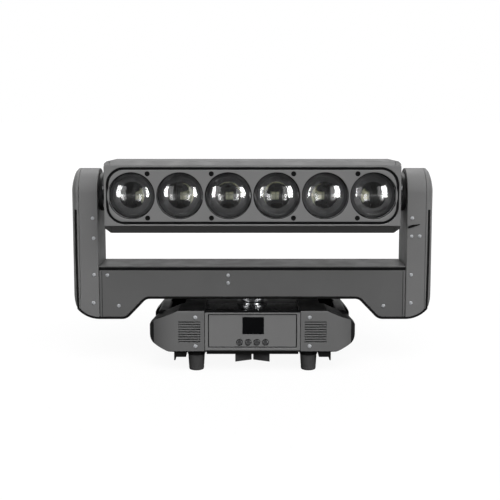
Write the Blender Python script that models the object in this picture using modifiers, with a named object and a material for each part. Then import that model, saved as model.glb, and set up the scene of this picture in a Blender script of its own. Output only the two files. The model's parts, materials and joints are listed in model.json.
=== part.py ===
"""Moving head light bar: a six-lens zoom head in a motorised yoke on a base with a menu panel.

Metres, +Z up. The front faces -Y, and the origin is on the floor below the pan axis.
"""
import math

import bmesh
import bpy
from mathutils import Matrix, Vector

MM = 0.001

# Fits
FIT = 0.3 * MM              # gap between pieces that touch
REACH = 20 * MM             # how far a cutter runs past what it cuts

# Lenses and zoom
LENS_COUNT = 6
LENS_PITCH = 72 * MM
LENS_APERTURE = 68 * MM
LENS_CLEARANCE = 1.4 * MM   # lens rim to aperture, on the diameter
LENS_RIM = 2.6 * MM
LENS_SHOULDER = 1.8 * MM
LENS_DOME = 15 * MM
LENS_BULGE = 10.5 * MM
TUBE_WALL = 1.6 * MM
TUBE_LENGTH = 4 * MM        # behind the panel flange
ZOOM_TRAVEL = 20 * MM       # back from the lens panel
ZOOM_MARGIN = 1.5 * MM
CARRIAGE_THICKNESS = 6 * MM
CARRIAGE_SEAT = 3 * MM
CARRIAGE_LEDGE = 3.3 * MM
CARRIAGE_LIP = 5 * MM
CARRIAGE_END_GAP = 1 * MM
ZOOM_ROD = 6 * MM
ZOOM_ROD_INSET = 9 * MM     # rods and screw inside the front face's edges
ZOOM_STRAP = 8 * MM
ZOOM_MOTOR_DIAMETER = 18 * MM
ZOOM_MOTOR_LENGTH = 16 * MM
ZOOM_SCREW_END = 3 * MM     # screw tip short of the lens panel

# Head
HEAD_END_MARGIN = 40.5 * MM
HEAD_FACE_HEIGHT = 90 * MM
HEAD_BEVEL = 12 * MM        # front bevels, along the head's depth
HEAD_TOP_RISE = 6 * MM
HEAD_TOP_FALL = 2.6 * MM
HEAD_BOTTOM_DROP = 12 * MM
HEAD_FRONT = 78 * MM
HEAD_BACK = 80 * MM
HEAD_REAR_HEIGHT = 72 * MM
HEAD_REAR_CHAMFER = 24 * MM
HEAD_WALL = 3 * MM
FRAME_THICKNESS = 4 * MM
FRAME_SIDE = 3 * MM
FRAME_BAND = 2.5 * MM
FRAME_CORNER = 27 * MM
PANEL_GROOVE = 3 * MM
PANEL_FLANGE = 2 * MM
PANEL_OVERLAP = 1.5 * MM
PANEL_RECESS = 0.5 * MM
CAP_DEPTH = 8 * MM
CAP_PLATE = 3 * MM
CAP_RIM = 3 * MM
CAP_BEVEL_TOP = 3 * MM
CAP_BEVEL_BOTTOM = 8 * MM
LED_BOARD_BACK = 12 * MM
LED_BOARD = 2 * MM
LED_BOARD_MARGIN = 1 * MM
ROD_TO_CARRIAGE = 16 * MM   # at the end of the zoom travel
LIGHT_ROD_FRONT = 6 * MM
LIGHT_ROD_BACK = 8 * MM
SINK_BASE = 4 * MM
SINK_FIN_LENGTH = 30 * MM
SINK_FIN = 2 * MM
SINK_FIN_PITCH = 18 * MM
SINK_MARGIN = 2 * MM
REAR_PANEL = 3 * MM
FAN_OFFSET = 100 * MM
FAN_DIAMETER = 60 * MM
FAN_TIP_GAP = 1.5 * MM
FAN_HUB = 24 * MM
FAN_AXLE = 5 * MM
FAN_DEPTH = 13 * MM
FAN_BLADES = 7
FAN_BLADE = 1.6 * MM
FAN_CHORD = 11 * MM
FAN_BLADE_PITCH = math.radians(35)
FAN_BRACKET = 2 * MM
FAN_STRUT = 6 * MM
FAN_RIM = 3 * MM
VENT_SLOTS = 8
VENT_SLOT = 3.5 * MM
VENT_PITCH = 7 * MM
VENT_LENGTH = 62 * MM

# Tilt axle in the arms
TILT_SHAFT = 26 * MM
TILT_BORE = 14 * MM
TILT_FLANGE = 56 * MM
TILT_FLANGE_THICKNESS = 5 * MM
BEARING_SLEEVE = 42 * MM
BEARING_FLANGE = 60 * MM
BEARING_FLANGE_THICKNESS = 6 * MM
BEARING_INSIDE = 9 * MM
TILT_PULLEY = 58 * MM
TILT_MOTOR_PULLEY = 18 * MM
PULLEY_WIDTH = 11 * MM
PULLEY_RIM = 1.2 * MM
BELT_WIDTH = 8 * MM
BELT_THICKNESS = 1.5 * MM
MOTOR_SIDE = 42 * MM
MOTOR_LENGTH = 37 * MM
MOTOR_CHAMFER = 4 * MM
MOTOR_PILOT = 22 * MM
MOTOR_PILOT_DEPTH = 2 * MM
MOTOR_SHAFT = 5 * MM
TILT_MOTOR_RISE = 40 * MM   # motor axis above the arm's foot

# Yoke
ARM_GAP = 16.7 * MM
ARM_SHELL = 28.8 * MM
ARM_COVER_EDGE = 5.5 * MM
ARM_CROWN = 9.6 * MM
ARM_CROWN_RINGS = (0.86, 0.66, 0.4)
ARM_DEPTH = 74 * MM
ARM_WALL = 3 * MM
ARM_FOOT_RADIUS = 44 * MM
CROSSBAR_HEIGHT = 50.7 * MM
CROSSBAR_SETBACK = 0.5 * MM
CROSSBAR_WALL = 2.5 * MM
CROSSBAR_EDGE = 2 * MM
LOBE_DROP = 31.8 * MM
LOBE_LENGTH = 41 * MM
LOBE_RAMP = 30.5 * MM
LOBE_RADIUS = 15 * MM
LID_THICKNESS = 2 * MM
LID_GROOVE = 3 * MM
LID_SKIRT = 8 * MM
HEAD_CLEARANCE = 112.5 * MM  # crossbar top to tilt axis

# Base
FOOT_HEIGHT = 31 * MM
FOOT_TOP = 26 * MM
FOOT_BOTTOM = 22.6 * MM
FOOT_SIDE_INSET = 73 * MM
FOOT_END_INSET = 20 * MM
BASE_WIDTH = 316 * MM
BASE_DEPTH = 180 * MM
BASE_HEIGHT = 63.5 * MM
BASE_PANEL_WIDTH = 144 * MM
BASE_CORNER = 43 * MM
BASE_WALL = 3 * MM
SHOULDER_RUN = 37 * MM
SHOULDER_DROP = 16.5 * MM
SHOULDER_RADIUS = 8 * MM
CHEEK_RUN = 11 * MM         # steeper slope between the shoulder and the side
CHEEK_DROP = 12 * MM
SKIRT_RUN = 32 * MM
SKIRT_RISE = 13 * MM
SKIRT_RADIUS = 14 * MM
GRIP_RECESS = 54 * MM
GRIP_LENGTH = 76 * MM
GRIP_INSET = 12 * MM
GRIP_THICKNESS = 17 * MM
GRIP_LOW = 30 * MM
GRIP_HEIGHT = 23 * MM
GRIP_RADIUS = 5 * MM
GRIP_ROOT = 2 * MM
TRAY_THICKNESS = 2 * MM
TRAY_CORNER = 14 * MM
REAR_WALL = 2 * MM
REAR_SETBACK = 2 * MM       # socket flanges inside the base's rear edge
SKID_WIDTH = 18 * MM
SKID_LENGTH = 30 * MM
SKID_DROP = 9 * MM
SKID_LIP = 2 * MM
SKID_LIP_DROP = 14 * MM
SKID_GAP = 2 * MM
DECK_EDGE = 2 * MM
LOUVRE_COUNT = 9
LOUVRE_PITCH = 3.75 * MM
LOUVRE_SLOT = 1.8 * MM
LOUVRE_LENGTH = 33 * MM
LOUVRE_START = 6 * MM
LOUVRE_LOW = 16 * MM

# Menu panel
PANEL_THICKNESS = 4 * MM
PANEL_POCKET = 1.5 * MM
PANEL_RIM = 3.5 * MM
DISPLAY_WIDTH = 30.6 * MM
DISPLAY_HEIGHT = 26 * MM
DISPLAY_RISE = 38.5 * MM    # display centre above the base's lower edge
BUTTON_COUNT = 4
BUTTON_PITCH = 13 * MM
BUTTON_DIAMETER = 8 * MM
BUTTON_RISE = 14.8 * MM
BUTTON_PROUD = 1.8 * MM
BUTTON_FLANGE = 11 * MM
BUTTON_FLANGE_THICKNESS = 1.2 * MM
BOARD_GAP = 6 * MM
BOARD_THICKNESS = 1.6 * MM
BOARD_MARGIN = 8 * MM

# Rear sockets
SOCKET_FLANGE = 2.3 * MM
SOCKET_DEPTH = 18 * MM
POWER_X = -40 * MM
POWER_FLANGE = 28 * MM
POWER_BODY = 23.4 * MM
POWER_PIN = 10 * MM
POWER_GROOVE = 3.5 * MM
POWER_GROOVE_DEPTH = 8 * MM
DATA_X = 32 * MM
DATA_WIDTH = 60 * MM
DATA_HEIGHT = 30 * MM
DATA_BORDER = 4 * MM
DATA_PITCH = 28 * MM
DATA_RING = 19 * MM
DATA_GROOVE = 2 * MM
DATA_GROOVE_DEPTH = 6 * MM
SOCKET_RISE = 29 * MM

# Pan drive and power
PAN_GAP = 7.3 * MM          # deck top to crossbar
PAN_SHAFT = 26 * MM
PAN_BORE = 16 * MM
PAN_FLANGE = 42 * MM
PAN_FLANGE_THICKNESS = 2.3 * MM
PAN_SHAFT_LENGTH = 40 * MM
PAN_BEARING = 47 * MM
PAN_BEARING_FLANGE = 60 * MM
PAN_BEARING_DEPTH = 5 * MM
PAN_PULLEY = 80 * MM
PAN_MOTOR_PULLEY = 16 * MM
PAN_MOTOR_GAP = 2 * MM      # motor to the grip bay's wall
SUPPLY_SIDE_GAP = 3 * MM
SUPPLY_FRONT_GAP = 8.4 * MM
SUPPLY_REAR_GAP = 2 * MM
SUPPLY_WIDTH = 50 * MM
SUPPLY_HEIGHT = 41 * MM

# Rigging lock under the base
LOCK_HALF_WIDTH = 26 * MM
LOCK_SLIT = 2.4 * MM
LOCK_INSET = 8 * MM
LOCK_RAKE = 12 * MM
LOCK_LENGTH = 30 * MM
LOCK_DROP = 14 * MM
LOCK_PLATE = 3 * MM
LOCK_MARGIN = 4 * MM

# Facets
ROUND_LARGE = 20
ROUND_SMALL = 12
ARC_STEPS = 6
DOME_STEPS = 4
LENS_FACETS = 20
SIDES = (("left", -1), ("right", 1))

# Derived places
HEAD_HALF = (LENS_COUNT - 1) * LENS_PITCH / 2 + HEAD_END_MARGIN
ARM_INNER = HEAD_HALF + ARM_GAP
ARM_SEAM = ARM_INNER + ARM_SHELL
ARM_OUTER = ARM_SEAM + FIT + ARM_COVER_EDGE + ARM_CROWN
BASE_LOW = FOOT_HEIGHT
DECK_TOP = BASE_LOW + BASE_HEIGHT
CROSSBAR_LOW = DECK_TOP + PAN_GAP
CROSSBAR_TOP = CROSSBAR_LOW + CROSSBAR_HEIGHT
LOBE_LOW = CROSSBAR_LOW - LOBE_DROP
TILT_Z = CROSSBAR_TOP + HEAD_CLEARANCE
ARM_RADIUS = ARM_DEPTH / 2
CROSSBAR_Y = ARM_RADIUS - CROSSBAR_SETBACK
FACE_Z = HEAD_FACE_HEIGHT / 2
FRAME_BACK = HEAD_FRONT - FRAME_THICKNESS
FLANGE_FRONT = FRAME_BACK - FIT
FLANGE_BACK = FLANGE_FRONT - PANEL_FLANGE
END_FRONT = FLANGE_BACK - FIT
END_INNER = HEAD_HALF - CAP_PLATE
COVER_HALF = HEAD_HALF - CAP_DEPTH
ZOOM_ROD_OFFSET = FACE_Z - ZOOM_ROD_INSET
LED_FRONT = LED_BOARD_BACK - LED_BOARD
LENS_X = [(index - (LENS_COUNT - 1) / 2) * LENS_PITCH for index in range(LENS_COUNT)]
LENS_RADIUS = (LENS_APERTURE - LENS_CLEARANCE) / 2
TUBE_BACK_Y = TUBE_LENGTH - FLANGE_BACK
CARRIAGE_FRONT_Y = TUBE_BACK_Y + ZOOM_MARGIN
CARRIAGE_BACK_Y = CARRIAGE_FRONT_Y + CARRIAGE_THICKNESS
LIGHT_ROD_LENGTH = LED_FRONT - CARRIAGE_BACK_Y - ZOOM_TRAVEL - ROD_TO_CARRIAGE
TRAY_LOW = BASE_LOW + FIT
TRAY_TOP = TRAY_LOW + TRAY_THICKNESS
DECK_LOW = DECK_TOP - BASE_WALL
PANEL_HALF = BASE_PANEL_WIDTH / 2
BASE_HALF = BASE_WIDTH / 2
BASE_Y = BASE_DEPTH / 2
SOCKET_FACE = BASE_Y - REAR_SETBACK
CAGE_LOW = TRAY_TOP + FIT
CAGE_TOP = DECK_LOW - FIT
BAY_WALL = BASE_HALF - GRIP_RECESS - BASE_WALL
FOOT_X = BASE_HALF - FOOT_SIDE_INSET
FOOT_Y = BASE_Y - FOOT_END_INSET
LOCK_FRONT = BASE_Y - LOCK_INSET
PAN_MOTOR_X = PAN_MOTOR_GAP + MOTOR_SIDE / 2 - BAY_WALL
BOARD_FRONT = PANEL_THICKNESS + BOARD_GAP - BASE_Y
BOARD_BACK = BOARD_FRONT + BOARD_THICKNESS


def clear_scene():
    """Remove every object, so that the script starts from an empty file."""
    for item in list(bpy.data.objects):
        bpy.data.objects.remove(item)


def new_collection(name):
    """Make a collection in the scene."""
    group = bpy.data.collections.new(name)
    bpy.context.scene.collection.children.link(group)
    return group


def finish(name, hex_colour, roughness, metallic):
    """A Principled material from an sRGB hex colour."""
    channels = [int(hex_colour[place:place + 2], 16) / 255 for place in (0, 2, 4)]
    linear = [((c + 0.055) / 1.055) ** 2.4 if c > 0.04045 else c / 12.92 for c in channels]
    material = bpy.data.materials.new(name)
    material.use_nodes = True
    shader = material.node_tree.nodes["Principled BSDF"]
    shader.inputs["Base Color"].default_value = (*linear, 1)
    shader.inputs["Roughness"].default_value = roughness
    shader.inputs["Metallic"].default_value = metallic
    return material


def joint_frame(name, location):
    """An empty that stands on a joint's axis and carries the pieces that move with it."""
    empty = bpy.data.objects.new(name, None)
    empty.location = location
    parts.objects.link(empty)
    return empty


def mesh_object(name, bm):
    """A mesh object, kept with the cutters until it is made a part."""
    mesh = bpy.data.meshes.new(name)
    bm.to_mesh(mesh)
    bm.free()
    item = bpy.data.objects.new(name, mesh)
    cutters.objects.link(item)
    item.hide_render = True
    item.display_type = "WIRE"
    return item


def part(item, frame, material):
    """Make an object a part: visible, finished and carried by a joint frame."""
    cutters.objects.unlink(item)
    parts.objects.link(item)
    item.hide_render = False
    item.display_type = "TEXTURED"
    item.data.materials.append(material)
    bpy.context.view_layer.update()
    item.parent = frame
    item.matrix_parent_inverse = frame.matrix_world.inverted()
    return item


def block(name, low, high):
    """A box between two corners."""
    bm = bmesh.new()
    bmesh.ops.create_cube(bm, size=1)
    low, high = Vector(low), Vector(high)
    bmesh.ops.scale(bm, vec=high - low, verts=bm.verts)
    bmesh.ops.translate(bm, vec=(low + high) / 2, verts=bm.verts)
    return mesh_object(name, bm)


def aim(item, origin, axis):
    """Stand an object that was made along +Z at origin, along axis."""
    item.location = origin
    item.rotation_euler = Vector((0, 0, 1)).rotation_difference(Vector(axis)).to_euler()
    return item


def turned(name, profile, origin, axis, segments, ring=False):
    """A Screw-turned shape: profile is (radius, height along axis), down the outer side."""
    bm = bmesh.new()
    verts = [bm.verts.new((radius, 0, height)) for radius, height in profile]
    for first, second in zip(verts, verts[1:]):
        bm.edges.new((first, second))
    if ring:
        bm.edges.new((verts[-1], verts[0]))
    item = aim(mesh_object(name, bm), origin, axis)
    screw = item.modifiers.new("turn", "SCREW")
    screw.steps = segments
    screw.render_steps = segments
    screw.use_merge_vertices = True
    screw.merge_threshold = 0.00001
    screw.use_smooth_shade = False
    return item


def cylinder(name, diameter, origin, axis, length, segments=ROUND_SMALL):
    """A plain round bar from origin along axis."""
    radius = diameter / 2
    bm = bmesh.new()
    bmesh.ops.create_cone(
        bm, cap_ends=True, segments=segments, radius1=radius, radius2=radius, depth=length,
    )
    bmesh.ops.translate(bm, vec=(0, 0, length / 2), verts=bm.verts)
    return aim(mesh_object(name, bm), origin, axis)


def tube(name, outer, inner, origin, axis, length, segments=ROUND_LARGE):
    """A plain round sleeve from origin along axis."""
    profile = [(outer / 2, length), (outer / 2, 0), (inner / 2, 0), (inner / 2, length)]
    return turned(name, profile, origin, axis, segments, ring=True)


def rounded(corners, steps=ARC_STEPS):
    """Outline points of a polygon given as (u, v, corner radius)."""
    points = []
    for index, (u, v, radius) in enumerate(corners):
        here = Vector((u, v))
        if radius <= 0:
            points.append(here)
            continue
        before = (Vector(corners[index - 1][:2]) - here).normalized()
        after = (Vector(corners[(index + 1) % len(corners)][:2]) - here).normalized()
        half = before.angle(after) / 2
        start = here + before * (radius / math.tan(half))
        centre = here + (before + after).normalized() * (radius / math.sin(half))
        sweep = math.copysign(math.pi - 2 * half, -before.cross(after))
        for step in range(steps + 1):
            turn = Matrix.Rotation(sweep * step / steps, 2)
            points.append(centre + turn @ (start - centre))
    return points


def inset(corners, depth):
    """A counter-clockwise polygon of (u, v, radius) corners, moved inwards by depth."""
    moved = []
    for index, (u, v, radius) in enumerate(corners):
        here = Vector((u, v))
        arriving = (here - Vector(corners[index - 1][:2])).normalized()
        leaving = (Vector(corners[(index + 1) % len(corners)][:2]) - here).normalized()
        normals = [Vector((-way.y, way.x)) for way in (arriving, leaving)]
        shift = (normals[0] + normals[1]) / (1 + normals[0].dot(normals[1]))
        corner = here + shift * depth
        change = -depth if arriving.cross(leaving) > 0 else depth
        moved.append((corner.x, corner.y, max(radius + change, 0) if radius else 0))
    return moved


def rectangle(half_u, low, high, radius=0):
    """Counter-clockwise corners of a rectangle centred on u = 0."""
    return [
        (-half_u, low, radius), (half_u, low, radius), (half_u, high, radius), (-half_u, high, radius),
    ]


def circle(diameter, centre, segments=ROUND_LARGE):
    """Points of a circle in an outline's plane."""
    radius = diameter / 2
    angles = [2 * math.pi * step / segments for step in range(segments)]
    return [(centre[0] + radius * math.cos(a), centre[1] + radius * math.sin(a)) for a in angles]


FRONT_PLANE = Matrix(((1, 0, 0, 0), (0, 0, -1, 0), (0, 1, 0, 0), (0, 0, 0, 1)))  # u is X, v is Z
SIDE_PLANE = Matrix(((0, 0, 1, 0), (1, 0, 0, 0), (0, 1, 0, 0), (0, 0, 0, 1)))    # u is Y, v is Z
TOP_PLANE = Matrix.Identity(4)                                                    # u is X, v is Y


def prism(name, outlines, plane, low, high):
    """A flat outline with holes, extruded between two places along its plane's normal axis."""
    curve = bpy.data.curves.new(name, "CURVE")
    curve.dimensions = "2D"
    curve.fill_mode = "BOTH"
    curve.extrude = (high - low) / 2
    for outline in outlines:
        spline = curve.splines.new("POLY")
        spline.points.add(len(outline) - 1)
        for point, place in zip(spline.points, outline):
            point.co = (place[0], place[1], 0, 1)
        spline.use_cyclic_u = True
    flat = bpy.data.objects.new(name, curve)
    cutters.objects.link(flat)
    bpy.context.view_layer.update()
    mesh = bpy.data.meshes.new_from_object(flat.evaluated_get(bpy.context.evaluated_depsgraph_get()))
    bpy.data.objects.remove(flat)
    bm = bmesh.new()
    bm.from_mesh(mesh)
    bmesh.ops.remove_doubles(bm, verts=bm.verts, dist=0.000001)
    middle = (low + high) / 2
    normal = plane.to_3x3() @ Vector((0, 0, 1))
    away = middle if max(normal) > 0 else -middle
    bmesh.ops.transform(bm, matrix=plane @ Matrix.Translation((0, 0, away)), verts=bm.verts)
    bmesh.ops.recalc_face_normals(bm, faces=bm.faces)
    bpy.data.meshes.remove(mesh)
    return mesh_object(name, bm)


def combine(item, others, operation, solver="EXACT"):
    """Cut, join or intersect an object with others by Boolean modifiers."""
    for other in others:
        boolean = item.modifiers.new(other.name, "BOOLEAN")
        boolean.operation = operation
        boolean.solver = solver
        boolean.object = other
    return item


def cut(item, *others):
    """Cut others out of an object."""
    return combine(item, others, "DIFFERENCE")


def join(item, *others):
    """Fuse others to an object."""
    return combine(item, others, "UNION")


def drill(item, *others):
    """Cut rows of round holes out of a plate, where the exact solver leaves open edges."""
    return combine(item, others, "DIFFERENCE", "MANIFOLD")


def repeat(item, count, offset):
    """Repeat an object at a constant step."""
    array = item.modifiers.new("repeat", "ARRAY")
    array.count = count
    array.use_relative_offset = False
    array.use_constant_offset = True
    array.constant_offset_displace = offset
    return item


def ease(item, width):
    """Round an object's sharp edges."""
    bevel = item.modifiers.new("edges", "BEVEL")
    bevel.width = width
    bevel.segments = 1
    bevel.limit_method = "ANGLE"
    bevel.angle_limit = math.radians(40)
    return item


def between(first, second, place, along):
    """The point of a line where its coordinate along has a given value."""
    share = (place - first[along]) / (second[along] - first[along])
    return tuple(a + (b - a) * share for a, b in zip(first[:2], second[:2]))


def belt_outline(large, small, reach, offset):
    """An open loop round two pulleys: the large one at the origin, the small one reach along u."""
    lean = math.acos((large - small) / (2 * reach))
    points = []
    for diameter, centre, start, stop in (
        (large, 0, lean, 2 * math.pi - lean),
        (small, reach, -lean, lean),
    ):
        for step in range(ROUND_LARGE + 1):
            angle = start + (stop - start) * step / ROUND_LARGE
            radius = diameter / 2 + offset
            points.append(Vector((centre + radius * math.cos(angle), radius * math.sin(angle))))
    return points


def belt(name, large, small, reach, plane, low, place):
    """A drive belt: place turns and moves the loop's points into its plane."""
    loops = []
    for offset in (FIT + BELT_THICKNESS, FIT):
        loops.append([place(point) for point in belt_outline(large, small, reach, offset)])
    return prism(name, loops, plane, low, low + BELT_WIDTH)


def pulley(name, diameter, bore, origin, axis, segments=ROUND_LARGE):
    """A belt pulley with a rim on each side."""
    rim = diameter / 2 + PULLEY_RIM
    tread = diameter / 2
    side = (PULLEY_WIDTH - BELT_WIDTH - 2 * FIT) / 2
    profile = [
        (rim, PULLEY_WIDTH), (rim, PULLEY_WIDTH - side), (tread, PULLEY_WIDTH - side),
        (tread, side), (rim, side), (rim, 0), (bore / 2 + FIT, 0), (bore / 2 + FIT, PULLEY_WIDTH),
    ]
    return turned(name, profile, origin, axis, segments, ring=True)


def motor(name, plane, centre, face, away, shaft_end):
    """A square stepper motor: its flange at face, its body running away and its shaft the other way."""
    half = MOTOR_SIDE / 2
    corners = [
        (centre[0] - half, centre[1] - half), (centre[0] + half, centre[1] - half),
        (centre[0] + half, centre[1] + half), (centre[0] - half, centre[1] + half),
    ]
    outline = []
    for index, corner in enumerate(corners):
        for near in (corners[index - 1], corners[(index + 1) % 4]):
            way = (Vector(near) - Vector(corner)).normalized()
            outline.append(Vector(corner) + way * MOTOR_CHAMFER)
    low, high = sorted((face, face + away * MOTOR_LENGTH))
    body = prism(name, [outline], plane, low, high)
    axis = plane.to_3x3() @ Vector((0, 0, 1)) * -away
    spot = plane @ Vector((*centre, face)) - axis * MOTOR_CHAMFER
    pilot = cylinder(name + "_pilot", MOTOR_PILOT, spot, axis, MOTOR_CHAMFER + MOTOR_PILOT_DEPTH)
    shaft = cylinder(name + "_shaft", MOTOR_SHAFT, spot, axis, MOTOR_CHAMFER + abs(shaft_end - face))
    return join(body, pilot, shaft)


clear_scene()
parts = new_collection("moving_head_light")
cutters = new_collection("cutters")

charcoal = finish("charcoal_painted_metal", "4a4b4d", 0.5, 0.2)
housing = finish("charcoal_moulded_plastic", "454648", 0.55, 0)
black = finish("black_moulded_plastic", "1a1a1b", 0.45, 0)
rubber = finish("black_rubber", "161616", 0.8, 0)
steel = finish("polished_steel", "c4c6c8", 0.2, 1)
aluminium = finish("bare_aluminium", "9a9c9f", 0.4, 1)
glass = finish("clear_lens", "dfe6ea", 0.05, 0)
board_green = finish("circuit_board", "1f4d33", 0.5, 0)
screen = finish("display_black", "08090a", 0.15, 0)

base_frame = joint_frame("base_frame", (0, 0, 0))
yoke_frame = joint_frame("yoke_frame", (0, 0, CROSSBAR_LOW))
head_frame = joint_frame("head_frame", (0, 0, TILT_Z))
zoom_frame = joint_frame("zoom_frame", (0, 0, TILT_Z))


def base_profile(side):
    """The end cover's outline seen from the front, for the side at +X."""
    foot = BASE_HALF - SKIRT_RUN
    cheek = BASE_HALF - CHEEK_RUN
    cheek_z = DECK_TOP - SHOULDER_DROP
    return [
        (side, BASE_LOW, 0), (foot, BASE_LOW, 0),
        (BASE_HALF, BASE_LOW + SKIRT_RISE, SKIRT_RADIUS),
        (BASE_HALF, cheek_z - CHEEK_DROP, SHOULDER_RADIUS), (cheek, cheek_z, SHOULDER_RADIUS),
        (cheek - SHOULDER_RUN, DECK_TOP, SHOULDER_RADIUS), (side, DECK_TOP, 0),
    ]


def span(sign, inner, outer):
    """Low and high X of a piece given by its distances from the middle."""
    return sorted((sign * inner, sign * outer))


def flip(item, sign):
    """Turn a +X piece into its partner at -X by half a turn about the pan axis."""
    if sign < 0:
        item.rotation_euler = (0, 0, math.pi)
    return item


def end_cover(name, sign):
    """A moulded base end with sloped shoulders, louvres and a carrying grip in its side."""
    side = PANEL_HALF + FIT / 2
    plan = [
        (0, -BASE_Y, 0), (BASE_HALF, -BASE_Y, BASE_CORNER),
        (BASE_HALF, BASE_Y, BASE_CORNER), (0, BASE_Y, 0),
    ]
    low, high = BASE_LOW - REACH, DECK_TOP + REACH
    shell = prism(name, [rounded(base_profile(side))], FRONT_PLANE, -BASE_Y - REACH, BASE_Y + REACH)
    combine(shell, [prism(name + "_plan", [rounded(plan)], TOP_PLANE, low, high)], "INTERSECT")
    inner = inset(base_profile(0), BASE_WALL)
    mouth = inner[1][0]
    inner = [(0, low, 0), (mouth, low, 0), *inner[1:-1], (0, inner[-1][1], 0)]
    core = prism(name + "_core", [rounded(inner)], FRONT_PLANE, -BASE_Y - REACH, BASE_Y + REACH)
    core_plan = prism(name + "_core_plan", [rounded(inset(plan, BASE_WALL))], TOP_PLANE, low - REACH, high)
    combine(core, [core_plan], "INTERSECT")
    recess = BAY_WALL + BASE_WALL
    bay = GRIP_LENGTH / 2
    cut(core, block(
        name + "_bay_walls", (BAY_WALL, -bay - BASE_WALL, low - 2 * REACH),
        (BASE_HALF + REACH, bay + BASE_WALL, high + REACH),
    ))
    cut(shell, block(name + "_bay", (recess, -bay, low), (BASE_HALF + REACH, bay, high)), core)
    outer = BASE_HALF - GRIP_INSET
    grip_low = BASE_LOW + GRIP_LOW
    grip_high = grip_low + GRIP_HEIGHT
    grip = [
        (outer - GRIP_THICKNESS, grip_low, GRIP_RADIUS), (outer, grip_low, GRIP_RADIUS),
        (outer, grip_high, GRIP_RADIUS), (outer - GRIP_THICKNESS, grip_high, GRIP_RADIUS),
    ]
    join(shell, prism(name + "_grip", [rounded(grip, 3)], FRONT_PLANE, -bay - GRIP_ROOT, bay + GRIP_ROOT))
    slot_x = PANEL_HALF + LOUVRE_START
    near, far = sorted(-sign * (BASE_Y + way * 2 * BASE_WALL) for way in (-1, 1))
    slot = block(
        name + "_louvres", (slot_x, near, BASE_LOW + LOUVRE_LOW),
        (slot_x + LOUVRE_LENGTH, far, BASE_LOW + LOUVRE_LOW + LOUVRE_SLOT),
    )
    cut(shell, repeat(slot, LOUVRE_COUNT, (0, 0, LOUVRE_PITCH)))
    if sign < 0:
        for boolean in shell.modifiers:
            flip(boolean.object, sign)
        for boolean in core.modifiers:
            flip(boolean.object, sign)
    part(flip(shell, sign), base_frame, housing)


def base_tray():
    """The sheet tray that carries the base: floor, rear wall and a skid beside each foot."""
    mouth = inset(base_profile(0), BASE_WALL)[1][0] - FIT
    depth = BASE_Y - BASE_WALL - FIT
    notch = BAY_WALL - FIT
    bay = GRIP_LENGTH / 2 + BASE_WALL + FIT
    tab = PANEL_HALF - FIT / 2
    floor = rectangle(mouth, -depth, depth, TRAY_CORNER)
    tray = prism("base_tray", [rounded(floor)], TOP_PLANE, TRAY_LOW, TRAY_TOP)
    low, high = TRAY_LOW - REACH, TRAY_TOP + REACH
    for side_name, sign in SIDES:
        near, far = span(sign, notch, BASE_HALF)
        cut(tray, block(f"tray_notch_{side_name}", (near, -bay, low), (far, bay, high)))
    sill = BASE_Y - FIT
    for end, sign in (("front", -1), ("rear", 1)):
        near, far = span(sign, depth - BASE_WALL, sill)
        join(tray, block(f"tray_sill_{end}", (-tab, near, TRAY_LOW), (tab, far, TRAY_TOP)))
    outside = SOCKET_FACE - FIT
    join(tray, block("base_rear_wall", (-tab, outside - REAR_WALL, TRAY_LOW), (tab, outside, CAGE_TOP)))
    socket_z = BASE_LOW + SOCKET_RISE
    data_half = DATA_WIDTH / 2 - DATA_BORDER + FIT
    spot = (POWER_X, BASE_Y - REACH, socket_z)
    power_hole = cylinder("power_hole", POWER_BODY + 2 * FIT, spot, (0, 1, 0), 2 * REACH, ROUND_LARGE)
    data_hole = block(
        "data_hole", (DATA_X - data_half, BASE_Y - REACH, socket_z - DATA_HEIGHT / 2 + DATA_BORDER - FIT),
        (DATA_X + data_half, BASE_Y + REACH, socket_z + DATA_HEIGHT / 2 - DATA_BORDER + FIT),
    )
    cut(tray, power_hole, data_hole)
    skid_x = FOOT_X + FOOT_TOP / 2 + SKID_GAP
    lip_x = skid_x + SKID_WIDTH - SKID_LIP
    skid = [
        (skid_x, TRAY_TOP - FIT), (skid_x, TRAY_LOW - SKID_DROP), (lip_x, TRAY_LOW - SKID_DROP),
        (lip_x, TRAY_LOW - SKID_LIP_DROP), (lip_x + SKID_LIP, TRAY_LOW - SKID_LIP_DROP),
        (lip_x + SKID_LIP, TRAY_TOP - FIT),
    ]
    for x_sign in (-1, 1):
        for y_sign in (-1, 1):
            low, high = sorted((y_sign * (FOOT_Y - SKID_LENGTH / 2), y_sign * (FOOT_Y + SKID_LENGTH / 2)))
            outline = [(x_sign * u, v) for u, v in skid]
            join(tray, prism(f"skid_{x_sign}_{y_sign}", [outline], FRONT_PLANE, low, high))
    part(tray, base_frame, charcoal)


def base_deck():
    """The top plate over the middle of the base, bored for the pan bearing."""
    profile = [
        (-BASE_Y, DECK_LOW), (BASE_Y, DECK_LOW), (BASE_Y, DECK_TOP - DECK_EDGE),
        (BASE_Y - DECK_EDGE, DECK_TOP), (DECK_EDGE - BASE_Y, DECK_TOP), (-BASE_Y, DECK_TOP - DECK_EDGE),
    ]
    half = PANEL_HALF - FIT / 2
    deck = prism("base_deck", [profile], SIDE_PLANE, -half, half)
    hole = PAN_BEARING + 2 * FIT
    cut(deck, cylinder("deck_bore", hole, (0, 0, DECK_LOW - REACH), (0, 0, 1), 2 * REACH, ROUND_LARGE))
    part(deck, base_frame, black)


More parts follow.
